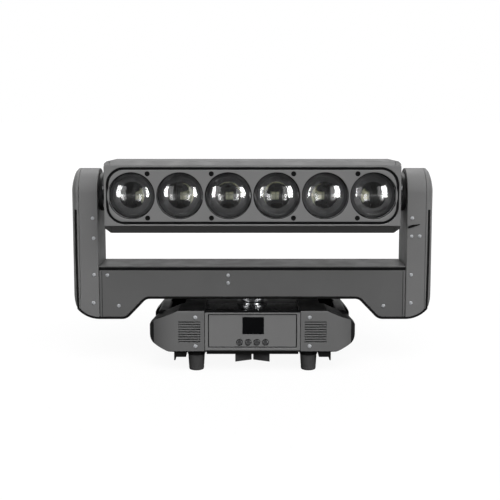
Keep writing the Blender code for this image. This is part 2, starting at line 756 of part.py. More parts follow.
def menu_panel():
    """The front panel with its sunk field, the display board behind it and the four menu buttons."""
    half = PANEL_HALF - FIT / 2
    back = PANEL_THICKNESS - BASE_Y
    field = PANEL_POCKET - BASE_Y
    display_z = BASE_LOW + DISPLAY_RISE
    button_z = BASE_LOW + BUTTON_RISE
    button_x = [(index - (BUTTON_COUNT - 1) / 2) * BUTTON_PITCH for index in range(BUTTON_COUNT)]
    panel = block("base_front_panel", (-half, -BASE_Y, CAGE_LOW), (half, back, CAGE_TOP))
    window = block(
        "display_window", (-DISPLAY_WIDTH / 2, -BASE_Y - REACH, display_z - DISPLAY_HEIGHT / 2),
        (DISPLAY_WIDTH / 2, back + REACH, display_z + DISPLAY_HEIGHT / 2),
    )
    spot = (button_x[0], back + REACH, button_z)
    bore = cylinder("button_bores", BUTTON_DIAMETER + 2 * FIT, spot, (0, -1, 0), 3 * REACH)
    rim = half - PANEL_RIM
    sunk = block(
        "panel_field", (-rim, -BASE_Y - REACH, CAGE_LOW + PANEL_RIM), (rim, field, CAGE_TOP - PANEL_RIM),
    )
    cut(panel, sunk, window, repeat(bore, BUTTON_COUNT, (BUTTON_PITCH, 0, 0)))
    part(panel, base_frame, charcoal)

    side = half - BOARD_MARGIN
    board = block(
        "display_board", (-side, BOARD_FRONT, CAGE_LOW + FIT), (side, BOARD_BACK, CAGE_TOP - BOARD_MARGIN),
    )
    wide, tall = DISPLAY_WIDTH / 2 - FIT, DISPLAY_HEIGHT / 2 - FIT
    cell = block(
        "display_cell", (-wide, field + FIT, display_z - tall),
        (wide, BOARD_FRONT + BOARD_THICKNESS / 2, display_z + tall),
    )
    part(join(board, cell), base_frame, screen)

    for number, x in enumerate(button_x, 1):
        flange_top = -(back + FIT)
        stem_top = BUTTON_PROUD - field
        low = flange_top - BUTTON_FLANGE_THICKNESS
        profile = [
            (0, stem_top - low), (BUTTON_DIAMETER / 2 - FIT, stem_top - low),
            (BUTTON_DIAMETER / 2, stem_top - low - FIT), (BUTTON_DIAMETER / 2, flange_top - low),
            (BUTTON_FLANGE / 2, flange_top - low), (BUTTON_FLANGE / 2, 0), (0, 0),
        ]
        button = turned(f"menu_button_{number}", profile, (x, -low, button_z), (0, -1, 0), ROUND_SMALL)
        part(button, base_frame, black)


def rear_sockets():
    """The power inlet and the pair of data sockets in the rear wall."""
    socket_z = BASE_LOW + SOCKET_RISE
    wall = SOCKET_FACE
    top = SOCKET_DEPTH + SOCKET_FLANGE
    pin, groove = POWER_PIN / 2, POWER_PIN / 2 + POWER_GROOVE
    profile = [
        (0, top), (pin, top), (pin, top - POWER_GROOVE_DEPTH), (groove, top - POWER_GROOVE_DEPTH),
        (groove, top), (POWER_FLANGE / 2, top), (POWER_FLANGE / 2, SOCKET_DEPTH),
        (POWER_BODY / 2, SOCKET_DEPTH), (POWER_BODY / 2, 0), (0, 0),
    ]
    inlet = turned("power_inlet", profile, (POWER_X, wall - SOCKET_DEPTH, socket_z), (0, 1, 0), ROUND_LARGE)
    part(inlet, base_frame, black)

    half, tall = DATA_WIDTH / 2, DATA_HEIGHT / 2
    flange = block(
        "data_sockets", (DATA_X - half, wall, socket_z - tall),
        (DATA_X + half, wall + SOCKET_FLANGE, socket_z + tall),
    )
    body = block(
        "data_body", (DATA_X - half + DATA_BORDER, wall - SOCKET_DEPTH, socket_z - tall + DATA_BORDER),
        (DATA_X + half - DATA_BORDER, wall + SOCKET_FLANGE / 2, socket_z + tall - DATA_BORDER),
    )
    join(flange, body)
    for sign in (-1, 1):
        spot = (DATA_X + sign * DATA_PITCH / 2, wall + SOCKET_FLANGE - DATA_GROOVE_DEPTH, socket_z)
        cut(flange, tube(
            f"data_ring_{sign}", DATA_RING, DATA_RING - 2 * DATA_GROOVE, spot, (0, 1, 0),
            DATA_GROOVE_DEPTH + REACH, ROUND_SMALL,
        ))
    part(flange, base_frame, black)


def feet():
    """Four tapered rubber feet under the tray."""
    profile = [
        (0, FOOT_HEIGHT), (FOOT_TOP / 2, FOOT_HEIGHT), (FOOT_BOTTOM / 2, TRAY_THICKNESS),
        (FOOT_BOTTOM / 2 - TRAY_THICKNESS, 0), (0, 0),
    ]
    for depth_name, y in (("front", -FOOT_Y), ("rear", FOOT_Y)):
        for side_name, x in (("left", -FOOT_X), ("right", FOOT_X)):
            foot = turned(f"foot_{depth_name}_{side_name}", profile, (x, y, 0), (0, 0, 1), ROUND_SMALL)
            part(foot, base_frame, rubber)


def bracket_lock():
    """The pair of raked blocks under the base that take the hanging bracket's lock."""
    top = TRAY_LOW - FIT
    plate = block(
        "bracket_lock", (-LOCK_HALF_WIDTH - LOCK_MARGIN, -LOCK_FRONT + LOCK_RAKE, top - LOCK_PLATE),
        (LOCK_HALF_WIDTH + LOCK_MARGIN, -LOCK_FRONT + LOCK_LENGTH + LOCK_MARGIN, top),
    )
    for sign in (-1, 1):
        wide, near = sign * LOCK_HALF_WIDTH, sign * LOCK_SLIT / 2
        rear = LOCK_LENGTH - LOCK_FRONT
        outline = [(wide, -LOCK_FRONT), (near, LOCK_RAKE - LOCK_FRONT), (near, rear), (wide, rear)]
        low = top - LOCK_PLATE - LOCK_DROP
        join(plate, prism(f"lock_block_{sign}", [outline], TOP_PLANE, low, top - LOCK_PLATE / 2))
    part(plate, base_frame, black)


def pan_drive():
    """The polished pan shaft with its bearing and pulley, the motor, its pulley and the belt."""
    shaft_top = CROSSBAR_LOW - FIT
    flange_low = PAN_SHAFT_LENGTH - PAN_FLANGE_THICKNESS
    profile = [
        (PAN_FLANGE / 2, PAN_SHAFT_LENGTH), (PAN_FLANGE / 2, flange_low), (PAN_SHAFT / 2, flange_low),
        (PAN_SHAFT / 2, 0), (PAN_BORE / 2, 0), (PAN_BORE / 2, PAN_SHAFT_LENGTH),
    ]
    shaft = turned(
        "pan_shaft", profile, (0, 0, shaft_top - PAN_SHAFT_LENGTH), (0, 0, 1), ROUND_LARGE, ring=True,
    )
    part(shaft, yoke_frame, steel)

    low = DECK_LOW - FIT - PAN_BEARING_DEPTH
    lip = PAN_BEARING_DEPTH
    top = DECK_TOP - low
    inner = PAN_SHAFT / 2 + FIT
    profile = [
        (PAN_BEARING / 2, top), (PAN_BEARING / 2, lip), (PAN_BEARING_FLANGE / 2, lip),
        (PAN_BEARING_FLANGE / 2, 0), (inner, 0), (inner, top),
    ]
    part(turned("pan_bearing", profile, (0, 0, low), (0, 0, 1), ROUND_LARGE, ring=True), base_frame, steel)

    pulley_low = low - FIT - PULLEY_WIDTH
    part(pulley("pan_pulley", PAN_PULLEY, PAN_SHAFT, (0, 0, pulley_low), (0, 0, 1)), yoke_frame, aluminium)
    motor_top = CAGE_LOW + MOTOR_LENGTH
    spot = (PAN_MOTOR_X, 0)
    drive = motor("pan_motor", TOP_PLANE, spot, motor_top, -1, pulley_low + PULLEY_WIDTH)
    part(drive, base_frame, black)
    small = pulley(
        "pan_motor_pulley", PAN_MOTOR_PULLEY, MOTOR_SHAFT, (*spot, pulley_low), (0, 0, 1), ROUND_SMALL,
    )
    part(small, base_frame, aluminium)
    belt_low = pulley_low + (PULLEY_WIDTH - BELT_WIDTH) / 2
    loop = belt(
        "pan_belt", PAN_PULLEY, PAN_MOTOR_PULLEY, abs(PAN_MOTOR_X), TOP_PLANE, belt_low,
        lambda point: (math.copysign(1, PAN_MOTOR_X) * point.x, point.y),
    )
    part(loop, base_frame, rubber)


def power_supply():
    """The switched supply in its folded case on the tray."""
    side = BAY_WALL - SUPPLY_SIDE_GAP
    rear = SOCKET_FACE - SOCKET_DEPTH - SUPPLY_REAR_GAP
    case = block(
        "power_supply", (side - SUPPLY_WIDTH, BOARD_BACK + SUPPLY_FRONT_GAP, CAGE_LOW),
        (side, rear, CAGE_LOW + SUPPLY_HEIGHT),
    )
    part(ease(case, TRAY_THICKNESS), base_frame, aluminium)


def crossbar_outline(top, past):
    """The crossbar's outline seen from the front, with a lobe below each end that runs past its seam."""
    end = ARM_INNER - FIT
    lobe = end - LOBE_LENGTH
    ramp = lobe - LOBE_RAMP
    right = [
        (ramp, CROSSBAR_LOW, LOBE_RADIUS), (lobe, LOBE_LOW, LOBE_RADIUS),
        (end + past, LOBE_LOW, 0), (end + past, top, 0),
    ]
    return right + [(-u, v, r) for u, v, r in reversed(right)]


def crossbar():
    """The yoke's crossbar channel and the lid that closes it from above."""
    rim = CROSSBAR_TOP - LID_THICKNESS - LID_GROOVE
    end = ARM_INNER - FIT
    shell = prism("crossbar_shell", [rounded(crossbar_outline(rim, 0))], FRONT_PLANE, -CROSSBAR_Y, CROSSBAR_Y)
    ease(shell, CROSSBAR_EDGE)
    inner = inset(crossbar_outline(rim + REACH, REACH), CROSSBAR_WALL)
    side = CROSSBAR_Y - CROSSBAR_WALL
    cut(shell, prism("crossbar_space", [rounded(inner)], FRONT_PLANE, -side, side))
    part(shell, yoke_frame, charcoal)

    lid_low = CROSSBAR_TOP - LID_THICKNESS
    lid = block("crossbar_lid", (-end, -CROSSBAR_Y, lid_low), (end, CROSSBAR_Y, CROSSBAR_TOP))
    ease(lid, LID_THICKNESS / 3)
    skirt_y = side - FIT
    skirt_x = end - CROSSBAR_WALL
    rings = []
    for depth in (0, CROSSBAR_WALL):
        rings.append(rounded(rectangle(skirt_x - depth, depth - skirt_y, skirt_y - depth)))
    skirt_low = lid_low - LID_GROOVE - LID_SKIRT
    join(lid, prism("lid_skirt", rings, TOP_PLANE, skirt_low, lid_low + LID_THICKNESS / 2))
    part(lid, yoke_frame, charcoal)


def arm_outline(depth):
    """An arm's outline seen from its side: a half round about the tilt axis over a straight leg."""
    radius = ARM_RADIUS - depth
    leg = [(-radius, LOBE_LOW + depth), (radius, LOBE_LOW + depth)]
    steps = 2 * ARC_STEPS
    angles = [math.pi * step / steps for step in range(steps + 1)]
    return leg + [(radius * math.cos(a), TILT_Z + radius * math.sin(a)) for a in angles]


def crown(item, sign, edge):
    """Crown the outer face of an arm's prism with inset rings that rise towards its middle."""
    bm = bmesh.new()
    bm.from_mesh(item.data)
    cap = [face for face in bm.faces if min(sign * vert.co.x for vert in face.verts) > edge - FIT / 2]
    flat = 1 - ARM_CROWN_RINGS[-1] ** 2
    before = 1
    for share in ARM_CROWN_RINGS:
        step = (before - share) * ARM_RADIUS
        rise = ARM_CROWN * (before ** 2 - share ** 2) / flat
        bmesh.ops.inset_region(bm, faces=cap, use_boundary=True, use_even_offset=True, thickness=step)
        bmesh.ops.translate(bm, vec=(sign * rise, 0, 0), verts=list({v for f in cap for v in f.verts}))
        before = share
    bm.to_mesh(item.data)
    bm.free()
    return item


def foot_cutter(name, sign, radius):
    """What lies outside the round lower corner of an arm."""
    centre = (ARM_OUTER - ARM_FOOT_RADIUS, LOBE_LOW + ARM_FOOT_RADIUS)
    far = (ARM_OUTER + REACH, LOBE_LOW - REACH)
    angles = [-math.pi / 2 * (1 - step / ARC_STEPS) for step in range(ARC_STEPS + 1)]
    arc = [(centre[0] + radius * math.cos(a), centre[1] + radius * math.sin(a)) for a in angles]
    outline = [(centre[0], far[1]), *arc, (far[0], centre[1]), far]
    side = ARM_RADIUS + REACH
    return prism(name, [[(sign * u, v) for u, v in outline]], FRONT_PLANE, -side, side)


def arm(side_name, sign):
    """One yoke arm: an open shell towards the head and a crowned cover outside."""
    name = f"arm_shell_{side_name}"
    shell = prism(name, [arm_outline(0)], SIDE_PLANE, *span(sign, ARM_INNER, ARM_SEAM))
    hollow = span(sign, ARM_INNER + ARM_WALL, ARM_OUTER)
    space = prism(name + "_space", [arm_outline(ARM_WALL)], SIDE_PLANE, *hollow)
    cut(space, foot_cutter(name + "_space_foot", sign, ARM_FOOT_RADIUS - ARM_WALL))
    cut(shell, foot_cutter(name + "_foot", sign, ARM_FOOT_RADIUS), space)
    inward = (sign, 0, 0)
    start = sign * (ARM_INNER - REACH)
    bore = BEARING_SLEEVE + 2 * FIT
    cut(shell, cylinder(name + "_bore", bore, (start, 0, TILT_Z), inward, 2 * REACH, ROUND_LARGE))
    if sign < 0:
        spot = (start, 0, LOBE_LOW + TILT_MOTOR_RISE)
        cut(shell, cylinder(name + "_pilot", MOTOR_PILOT + 2 * FIT, spot, inward, 2 * REACH))
    part(shell, yoke_frame, charcoal)

    name = f"arm_cover_{side_name}"
    low = ARM_SEAM + FIT
    edge = low + ARM_COVER_EDGE
    cover = crown(prism(name, [arm_outline(0)], SIDE_PLANE, *span(sign, low, edge)), sign, edge)
    inner = edge - ARM_WALL
    hollow = prism(name + "_space", [arm_outline(ARM_WALL)], SIDE_PLANE, *span(sign, ARM_INNER, inner))
    crown(hollow, sign, inner)
    cut(hollow, foot_cutter(name + "_space_foot", sign, ARM_FOOT_RADIUS - ARM_WALL))
    cut(cover, foot_cutter(name + "_foot", sign, ARM_FOOT_RADIUS), hollow)
    part(cover, yoke_frame, charcoal)


def tilt_axle(side_name, sign):
    """The bearing in an arm's wall and the flanged shaft that carries the head in it."""
    axis = (sign, 0, 0)
    bearing_end = ARM_INNER + ARM_WALL + BEARING_INSIDE
    start = ARM_INNER - FIT - BEARING_FLANGE_THICKNESS
    length = bearing_end - start
    inner = TILT_SHAFT / 2 + FIT
    profile = [
        (BEARING_SLEEVE / 2, length), (BEARING_SLEEVE / 2, BEARING_FLANGE_THICKNESS),
        (BEARING_FLANGE / 2, BEARING_FLANGE_THICKNESS), (BEARING_FLANGE / 2, 0), (inner, 0), (inner, length),
    ]
    name = f"tilt_bearing_{side_name}"
    bearing = turned(name, profile, (sign * start, 0, TILT_Z), axis, ROUND_LARGE, ring=True)
    part(bearing, yoke_frame, black)

    start = HEAD_HALF + FIT
    length = bearing_end + FIT + PULLEY_WIDTH - start
    profile = [
        (TILT_SHAFT / 2, length), (TILT_SHAFT / 2, TILT_FLANGE_THICKNESS),
        (TILT_FLANGE / 2, TILT_FLANGE_THICKNESS), (TILT_FLANGE / 2, 0), (TILT_BORE / 2, 0),
        (TILT_BORE / 2, length),
    ]
    name = f"tilt_shaft_{side_name}"
    shaft = turned(name, profile, (sign * start, 0, TILT_Z), axis, ROUND_LARGE, ring=True)
    part(shaft, head_frame, steel)


def tilt_drive():
    """The tilt motor in the left lobe, its pulley, the belt up the arm and the head's pulley."""
    motor_z = LOBE_LOW + TILT_MOTOR_RISE
    start = ARM_INNER + ARM_WALL + BEARING_INSIDE + FIT
    face = FIT - ARM_INNER
    drive = motor("tilt_motor", SIDE_PLANE, (0, motor_z), face, 1, -start - PULLEY_WIDTH)
    part(drive, yoke_frame, black)
    small = pulley(
        "tilt_motor_pulley", TILT_MOTOR_PULLEY, MOTOR_SHAFT, (-start, 0, motor_z), (-1, 0, 0), ROUND_SMALL,
    )
    part(small, yoke_frame, aluminium)
    large = pulley("tilt_pulley", TILT_PULLEY, TILT_SHAFT, (-start, 0, TILT_Z), (-1, 0, 0))
    part(large, head_frame, aluminium)
    low = -start - (PULLEY_WIDTH + BELT_WIDTH) / 2
    loop = belt(
        "tilt_belt", TILT_PULLEY, TILT_MOTOR_PULLEY, TILT_Z - motor_z, SIDE_PLANE, low,
        lambda point: (point.y, TILT_Z - point.x),
    )
    part(loop, yoke_frame, rubber)


def head_outline():
    """The head's outline seen from its side, counter-clockwise from the lower front edge."""
    top = TILT_Z + FACE_Z + HEAD_TOP_RISE
    low = TILT_Z - FACE_Z - HEAD_BOTTOM_DROP
    rear = HEAD_REAR_HEIGHT / 2
    return [
        (-HEAD_FRONT, TILT_Z - FACE_Z, 0), (HEAD_BEVEL - HEAD_FRONT, low, 0),
        (HEAD_BACK - HEAD_REAR_CHAMFER, low, 0), (HEAD_BACK, TILT_Z - rear, 0), (HEAD_BACK, TILT_Z + rear, 0),
        (HEAD_BACK - HEAD_REAR_CHAMFER, top - HEAD_TOP_FALL, 0), (HEAD_BEVEL - HEAD_FRONT, top, 0),
        (-HEAD_FRONT, TILT_Z + FACE_Z, 0),
    ]


TOP_CORNERS = (4, 5, 6, 7)      # of the head's outline, from the rear to the front
BOTTOM_CORNERS = (3, 2, 1, 0)


def cover_edge(outline, corners, up):
    """The run of an outline between the rear panel and the front frame."""
    rear, high, low, front = (outline[corner] for corner in corners)
    rear_z = TILT_Z + up * (HEAD_REAR_HEIGHT / 2 + FIT)
    front_z = TILT_Z + up * (FACE_Z + FIT)
    return [between(rear, high, rear_z, 1), high[:2], low[:2], between(low, front, front_z, 1)]


def head_covers():
    """The bent top and bottom covers between the front frame and the rear panel."""
    outer = head_outline()
    inner = inset(outer, HEAD_WALL)
    half = COVER_HALF - FIT / 2
    for name, corners, up in (("head_top_cover", TOP_CORNERS, 1), ("head_bottom_cover", BOTTOM_CORNERS, -1)):
        strip = cover_edge(outer, corners, up) + cover_edge(inner, corners, up)[::-1]
        part(prism(name, [strip], SIDE_PLANE, -half, half), head_frame, charcoal)


def cap_bevel(name, sign, width, edge, up):
    """What lies outside the bevel along the top or bottom edge of an end cap."""
    high = (HEAD_HALF - width - REACH, edge + up * REACH)
    low = (HEAD_HALF + REACH, edge - up * (width + REACH))
    outline = [high, low, (low[0], high[1])]
    side = HEAD_FRONT + REACH
    return prism(name, [[(sign * u, v) for u, v in outline]], FRONT_PLANE, -side, side)


def head_end(side_name, sign):
    """A moulded end cap with bevelled edges, on which a tilt shaft is bolted."""
    shape = head_outline()
    back = HEAD_BACK - REAR_PANEL - FIT
    upper = cover_edge(shape, TOP_CORNERS, 1)
    lower = cover_edge(shape, BOTTOM_CORNERS, -1)
    upper[0] = between(shape[4], shape[5], back, 0)
    lower[0] = between(shape[3], shape[2], back, 0)
    mouth = [(-END_FRONT, upper[-1][1]), (-END_FRONT, lower[-1][1])]
    bore = circle(TILT_BORE, (0, TILT_Z), ROUND_SMALL)
    name = f"head_end_{side_name}"
    ends = span(sign, COVER_HALF + FIT / 2, HEAD_HALF)
    cap = prism(name, [upper + mouth + lower[::-1]], SIDE_PLANE, *ends)
    tall = FACE_Z - CAP_RIM
    near, far = span(sign, COVER_HALF - REACH, END_INNER)
    rear = HEAD_BACK - HEAD_REAR_CHAMFER - CAP_RIM
    pocket = block(name + "_pocket", (near, -END_FRONT - REACH, TILT_Z - tall), (far, rear, TILT_Z + tall))
    hole = prism(name + "_bore", [bore], SIDE_PLANE, *span(sign, END_INNER - REACH, HEAD_HALF + REACH))
    top, low = max(v for u, v in upper), min(v for u, v in lower)
    cut(
        cap, pocket, hole, cap_bevel(name + "_top_bevel", sign, CAP_BEVEL_TOP, top, 1),
        cap_bevel(name + "_low_bevel", sign, CAP_BEVEL_BOTTOM, low, -1),
    )
    part(cap, head_frame, housing)


def frame_opening():
    """Corners of the round-cornered opening in the front frame."""
    tall = FACE_Z - FRAME_BAND
    return rectangle(HEAD_HALF - FRAME_SIDE, TILT_Z - tall, TILT_Z + tall, FRAME_CORNER)


def front_frame():
    """The thin frame round the lens panel."""
    outer = rectangle(HEAD_HALF, TILT_Z - FACE_Z, TILT_Z + FACE_Z)
    rings = [rounded(outer), rounded(frame_opening())]
    part(prism("head_front_frame", rings, FRONT_PLANE, -HEAD_FRONT, -FRAME_BACK), head_frame, charcoal)


def lens_row(name, diameter, back, front):
    """A row of round bars on the lens axes, between two places along Y."""
    bar = cylinder(name, diameter, (LENS_X[0], back, TILT_Z), (0, -1, 0), back - front, LENS_FACETS)
    return repeat(bar, LENS_COUNT, (LENS_PITCH, 0, 0))


def lens_panel():
    """The front plate with its hidden flange and a tube behind each lens opening."""
    raised = rounded(inset(frame_opening(), PANEL_GROOVE))
    hidden = rounded(inset(frame_opening(), -PANEL_OVERLAP))
    face = PANEL_RECESS - HEAD_FRONT
    middle = PANEL_FLANGE / 2 - FLANGE_FRONT
    panel = prism("lens_panel", [raised], FRONT_PLANE, face, middle)
    flange = prism("panel_flange", [hidden], FRONT_PLANE, -FLANGE_FRONT, -FLANGE_BACK)
    tubes = lens_row("lens_tubes", LENS_APERTURE + 2 * TUBE_WALL, TUBE_BACK_Y, middle)
    bores = lens_row("lens_bores", LENS_APERTURE, TUBE_BACK_Y + REACH, face - REACH)
    combine(panel, [flange, tubes], "UNION", "MANIFOLD")
    part(drill(panel, bores), head_frame, charcoal)


def rear_panel():
    """The vented back of the head."""
    half = HEAD_REAR_HEIGHT / 2
    front = HEAD_BACK - REAR_PANEL
    panel = block(
        "head_rear_panel", (-HEAD_HALF, front, TILT_Z - half), (HEAD_HALF, HEAD_BACK, TILT_Z + half),
    )
    low = TILT_Z - (VENT_SLOTS - 1) / 2 * VENT_PITCH - VENT_SLOT / 2
    for side_name, sign in SIDES:
        x = sign * FAN_OFFSET
        slot = block(
            f"vent_{side_name}", (x - VENT_LENGTH / 2, front - REACH, low),
            (x + VENT_LENGTH / 2, HEAD_BACK + REACH, low + VENT_SLOT),
        )
        cut(panel, repeat(slot, VENT_SLOTS, (0, 0, VENT_PITCH)))
    part(panel, head_frame, charcoal)


def light_engine():
    """The LED board with its square light rods, and the finned heat sink behind it."""
    half = COVER_HALF - FIT
    tall = FACE_Z - LED_BOARD_MARGIN
    sheet = rectangle(half, TILT_Z - tall, TILT_Z + tall)
    board = prism("led_board", [rounded(sheet)], FRONT_PLANE, LED_FRONT, LED_BOARD_BACK)
    root = LED_BOARD / 2
    length = LIGHT_ROD_LENGTH + root
    bm = bmesh.new()
    back, front = LIGHT_ROD_BACK / math.sqrt(2), LIGHT_ROD_FRONT / math.sqrt(2)
    bmesh.ops.create_cone(bm, cap_ends=True, segments=4, radius1=back, radius2=front, depth=length)
    stand = Matrix.Rotation(math.pi / 2, 4, "X") @ Matrix.Rotation(math.pi / 4, 4, "Z")
    place = Matrix.Translation((LENS_X[0], LED_FRONT + root - length / 2, TILT_Z))
    bmesh.ops.transform(bm, matrix=place @ stand, verts=bm.verts)
    rods = repeat(mesh_object("light_rods", bm), LENS_COUNT, (LENS_PITCH, 0, 0))
    part(join(board, rods), head_frame, board_green)

    low = LED_BOARD_BACK + FIT
    root, tip = low + SINK_BASE, low + SINK_BASE + SINK_FIN_LENGTH
    fins = int((2 * half - SINK_FIN) / SINK_FIN_PITCH)
    comb = [(-half, low), (half, low), (half, root)]
    for index in range(fins + 1):
        x = (fins / 2 - index) * SINK_FIN_PITCH
        right, left = x + SINK_FIN / 2, x - SINK_FIN / 2
        comb += [(right, root), (right, tip), (left, tip), (left, root)]
    comb.append((-half, root))
    tall = FACE_Z - SINK_MARGIN
    sink = prism("heat_sink", [comb], TOP_PLANE, TILT_Z - tall, TILT_Z + tall)
    part(sink, head_frame, aluminium)


def fans():
    """The bracket behind the rear panel and the two fan rotors on its axles."""
    high = HEAD_BACK - REAR_PANEL - FIT
    low = high - FAN_BRACKET
    opening = FAN_DIAMETER + 2 * FAN_TIP_GAP
    tall = opening / 2 + FAN_RIM
    half = FAN_OFFSET + tall
    bracket = block("fan_bracket", (-half, low, TILT_Z - tall), (half, high, TILT_Z + tall))
    for side_name, sign in SIDES:
        x = sign * FAN_OFFSET
        spot = (x, high + REACH, TILT_Z)
        hole = cylinder(f"fan_opening_{side_name}", opening, spot, (0, -1, 0), 2 * REACH, ROUND_LARGE)
        cut(bracket, hole)
        reach = tall - FAN_RIM / 2
        strut = block(
            f"fan_strut_{side_name}", (x - reach, low + FIT, TILT_Z - FAN_STRUT / 2),
            (x + reach, high - FIT, TILT_Z + FAN_STRUT / 2),
        )
        seat = FAN_BRACKET
        axle = FAN_AXLE / 2
        profile = [
            (0, seat + FAN_DEPTH), (axle, seat + FAN_DEPTH), (axle, seat), (FAN_HUB / 2, seat),
            (FAN_HUB / 2, 0), (0, 0),
        ]
        spot = (x, high, TILT_Z)
        join(bracket, strut, turned(f"fan_axle_{side_name}", profile, spot, (0, -1, 0), ROUND_SMALL))
        start = (x, low - FIT, TILT_Z)
        rotor = tube(
            f"fan_rotor_{side_name}", FAN_HUB, FAN_AXLE + 2 * FIT, start, (0, -1, 0), FAN_DEPTH, ROUND_SMALL,
        )
        bm = bmesh.new()
        root = FAN_HUB / 2 - FAN_BLADE / 2
        span_out = FAN_DIAMETER / 2 - root
        for index in range(FAN_BLADES):
            matrix = (
                Matrix.Translation((x, low - FIT - FAN_DEPTH / 2, TILT_Z))
                @ Matrix.Rotation(2 * math.pi * index / FAN_BLADES, 4, "Y")
                @ Matrix.Translation((0, 0, root + span_out / 2))
                @ Matrix.Rotation(FAN_BLADE_PITCH, 4, "Z")
                @ Matrix.Diagonal((FAN_CHORD, FAN_BLADE, span_out, 1))
            )
            bmesh.ops.create_cube(bm, size=1, matrix=matrix)
        part(join(rotor, mesh_object(f"fan_blades_{side_name}", bm)), head_frame, black)
    part(bracket, head_frame, charcoal)


def dome(radius, rise):
    """Radius and height of points on a round dome, from its pole to its rim."""
    ball = (radius ** 2 + rise ** 2) / (2 * rise)
    widest = math.asin(radius / ball)
    angles = [widest * step / DOME_STEPS for step in range(DOME_STEPS + 1)]
    return [(ball * math.sin(angle), rise - ball * (1 - math.cos(angle))) for angle in angles]


def zoom_drive():
    """The lens carriage with its lenses, the guide rods, and the motor and screw that move it."""
    screw_z = TILT_Z + ZOOM_ROD_OFFSET
    rod_z = TILT_Z - ZOOM_ROD_OFFSET
    rod_x = 2 * LENS_PITCH
    motor_y = LED_FRONT - FIT
    drive = cylinder(
        "zoom_motor", ZOOM_MOTOR_DIAMETER, (0, motor_y, screw_z), (0, -1, 0), ZOOM_MOTOR_LENGTH, ROUND_LARGE,
    )
    part(drive, head_frame, steel)
    screw_y = motor_y - ZOOM_MOTOR_LENGTH - FIT
    screw_length = screw_y + FLANGE_BACK - ZOOM_SCREW_END
    screw = cylinder("zoom_screw", ZOOM_ROD, (0, screw_y, screw_z), (0, -1, 0), screw_length)
    part(screw, head_frame, steel)

    strap = block(
        "zoom_guides", (-rod_x - ZOOM_STRAP / 2, motor_y - ZOOM_STRAP, rod_z - ZOOM_STRAP / 2),
        (rod_x + ZOOM_STRAP / 2, motor_y, rod_z + ZOOM_STRAP / 2),
    )
    front = -END_FRONT
    root = motor_y - ZOOM_STRAP / 2
    for sign in (-1, 1):
        spot = (sign * rod_x, root, rod_z)
        join(strap, cylinder(f"zoom_rod_{sign}", ZOOM_ROD, spot, (0, -1, 0), root - front))
    part(strap, head_frame, steel)

    half, tall = END_INNER - CARRIAGE_END_GAP, ZOOM_ROD_OFFSET + CARRIAGE_LIP
    carriage = block(
        "lens_carriage", (-half, CARRIAGE_FRONT_Y, TILT_Z - tall), (half, CARRIAGE_BACK_Y, TILT_Z + tall),
    )
    seat_y = CARRIAGE_FRONT_Y + CARRIAGE_SEAT
    past = CARRIAGE_BACK_Y + REACH
    drill(
        carriage,
        lens_row("lens_pockets", 2 * (LENS_RADIUS + FIT), seat_y, CARRIAGE_FRONT_Y - REACH),
        lens_row("lens_windows", 2 * (LENS_RADIUS - CARRIAGE_LEDGE), past, CARRIAGE_FRONT_Y - REACH),
    )
    for name, x, z in (("screw", 0, screw_z), ("left", -rod_x, rod_z), ("right", rod_x, rod_z)):
        hole = cylinder(f"carriage_bore_{name}", ZOOM_ROD + 2 * FIT, (x, past, z), (0, -1, 0), 3 * REACH)
        drill(carriage, hole)
    part(carriage, zoom_frame, black)

    profile = [(radius, LENS_RIM + height) for radius, height in dome(LENS_RADIUS - LENS_SHOULDER, LENS_DOME)]
    profile += [(LENS_RADIUS, LENS_RIM), (LENS_RADIUS, 0)]
    back = dome(LENS_RADIUS - CARRIAGE_LEDGE - 2 * FIT, LENS_BULGE)
    profile += [(radius, -height) for radius, height in reversed(back)]
    for number, x in enumerate(LENS_X, 1):
        lens = turned(f"lens_{number}", profile, (x, seat_y - FIT, TILT_Z), (0, -1, 0), LENS_FACETS)
        part(lens, zoom_frame, glass)


def build():
    """Build every sub-assembly from the floor up."""
    feet()
    base_tray()
    for side_name, sign in SIDES:
        end_cover(f"base_cover_{side_name}", sign)
    base_deck()
    menu_panel()
    rear_sockets()
    bracket_lock()
    power_supply()
    pan_drive()
    crossbar()
    tilt_drive()
    for side_name, sign in SIDES:
        arm(side_name, sign)
        tilt_axle(side_name, sign)
        head_end(side_name, sign)
    head_covers()
    front_frame()
    lens_panel()
    rear_panel()
    light_engine()
    fans()
    zoom_drive()


build()
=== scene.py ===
"""Looks of a moving head light bar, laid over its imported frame.

Sizes are in millimetres and become metres when a piece is made. +Z is up and the lenses face -Y. A size
named half is half a width, height or depth, and a turned profile lists the radius and depth of its points.
"""
import json
import logging
import math
from collections.abc import Iterable, Sequence
from dataclasses import dataclass, replace
from enum import Enum

import bmesh
import bpy
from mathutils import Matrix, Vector
from mathutils.geometry import tessellate_polygon

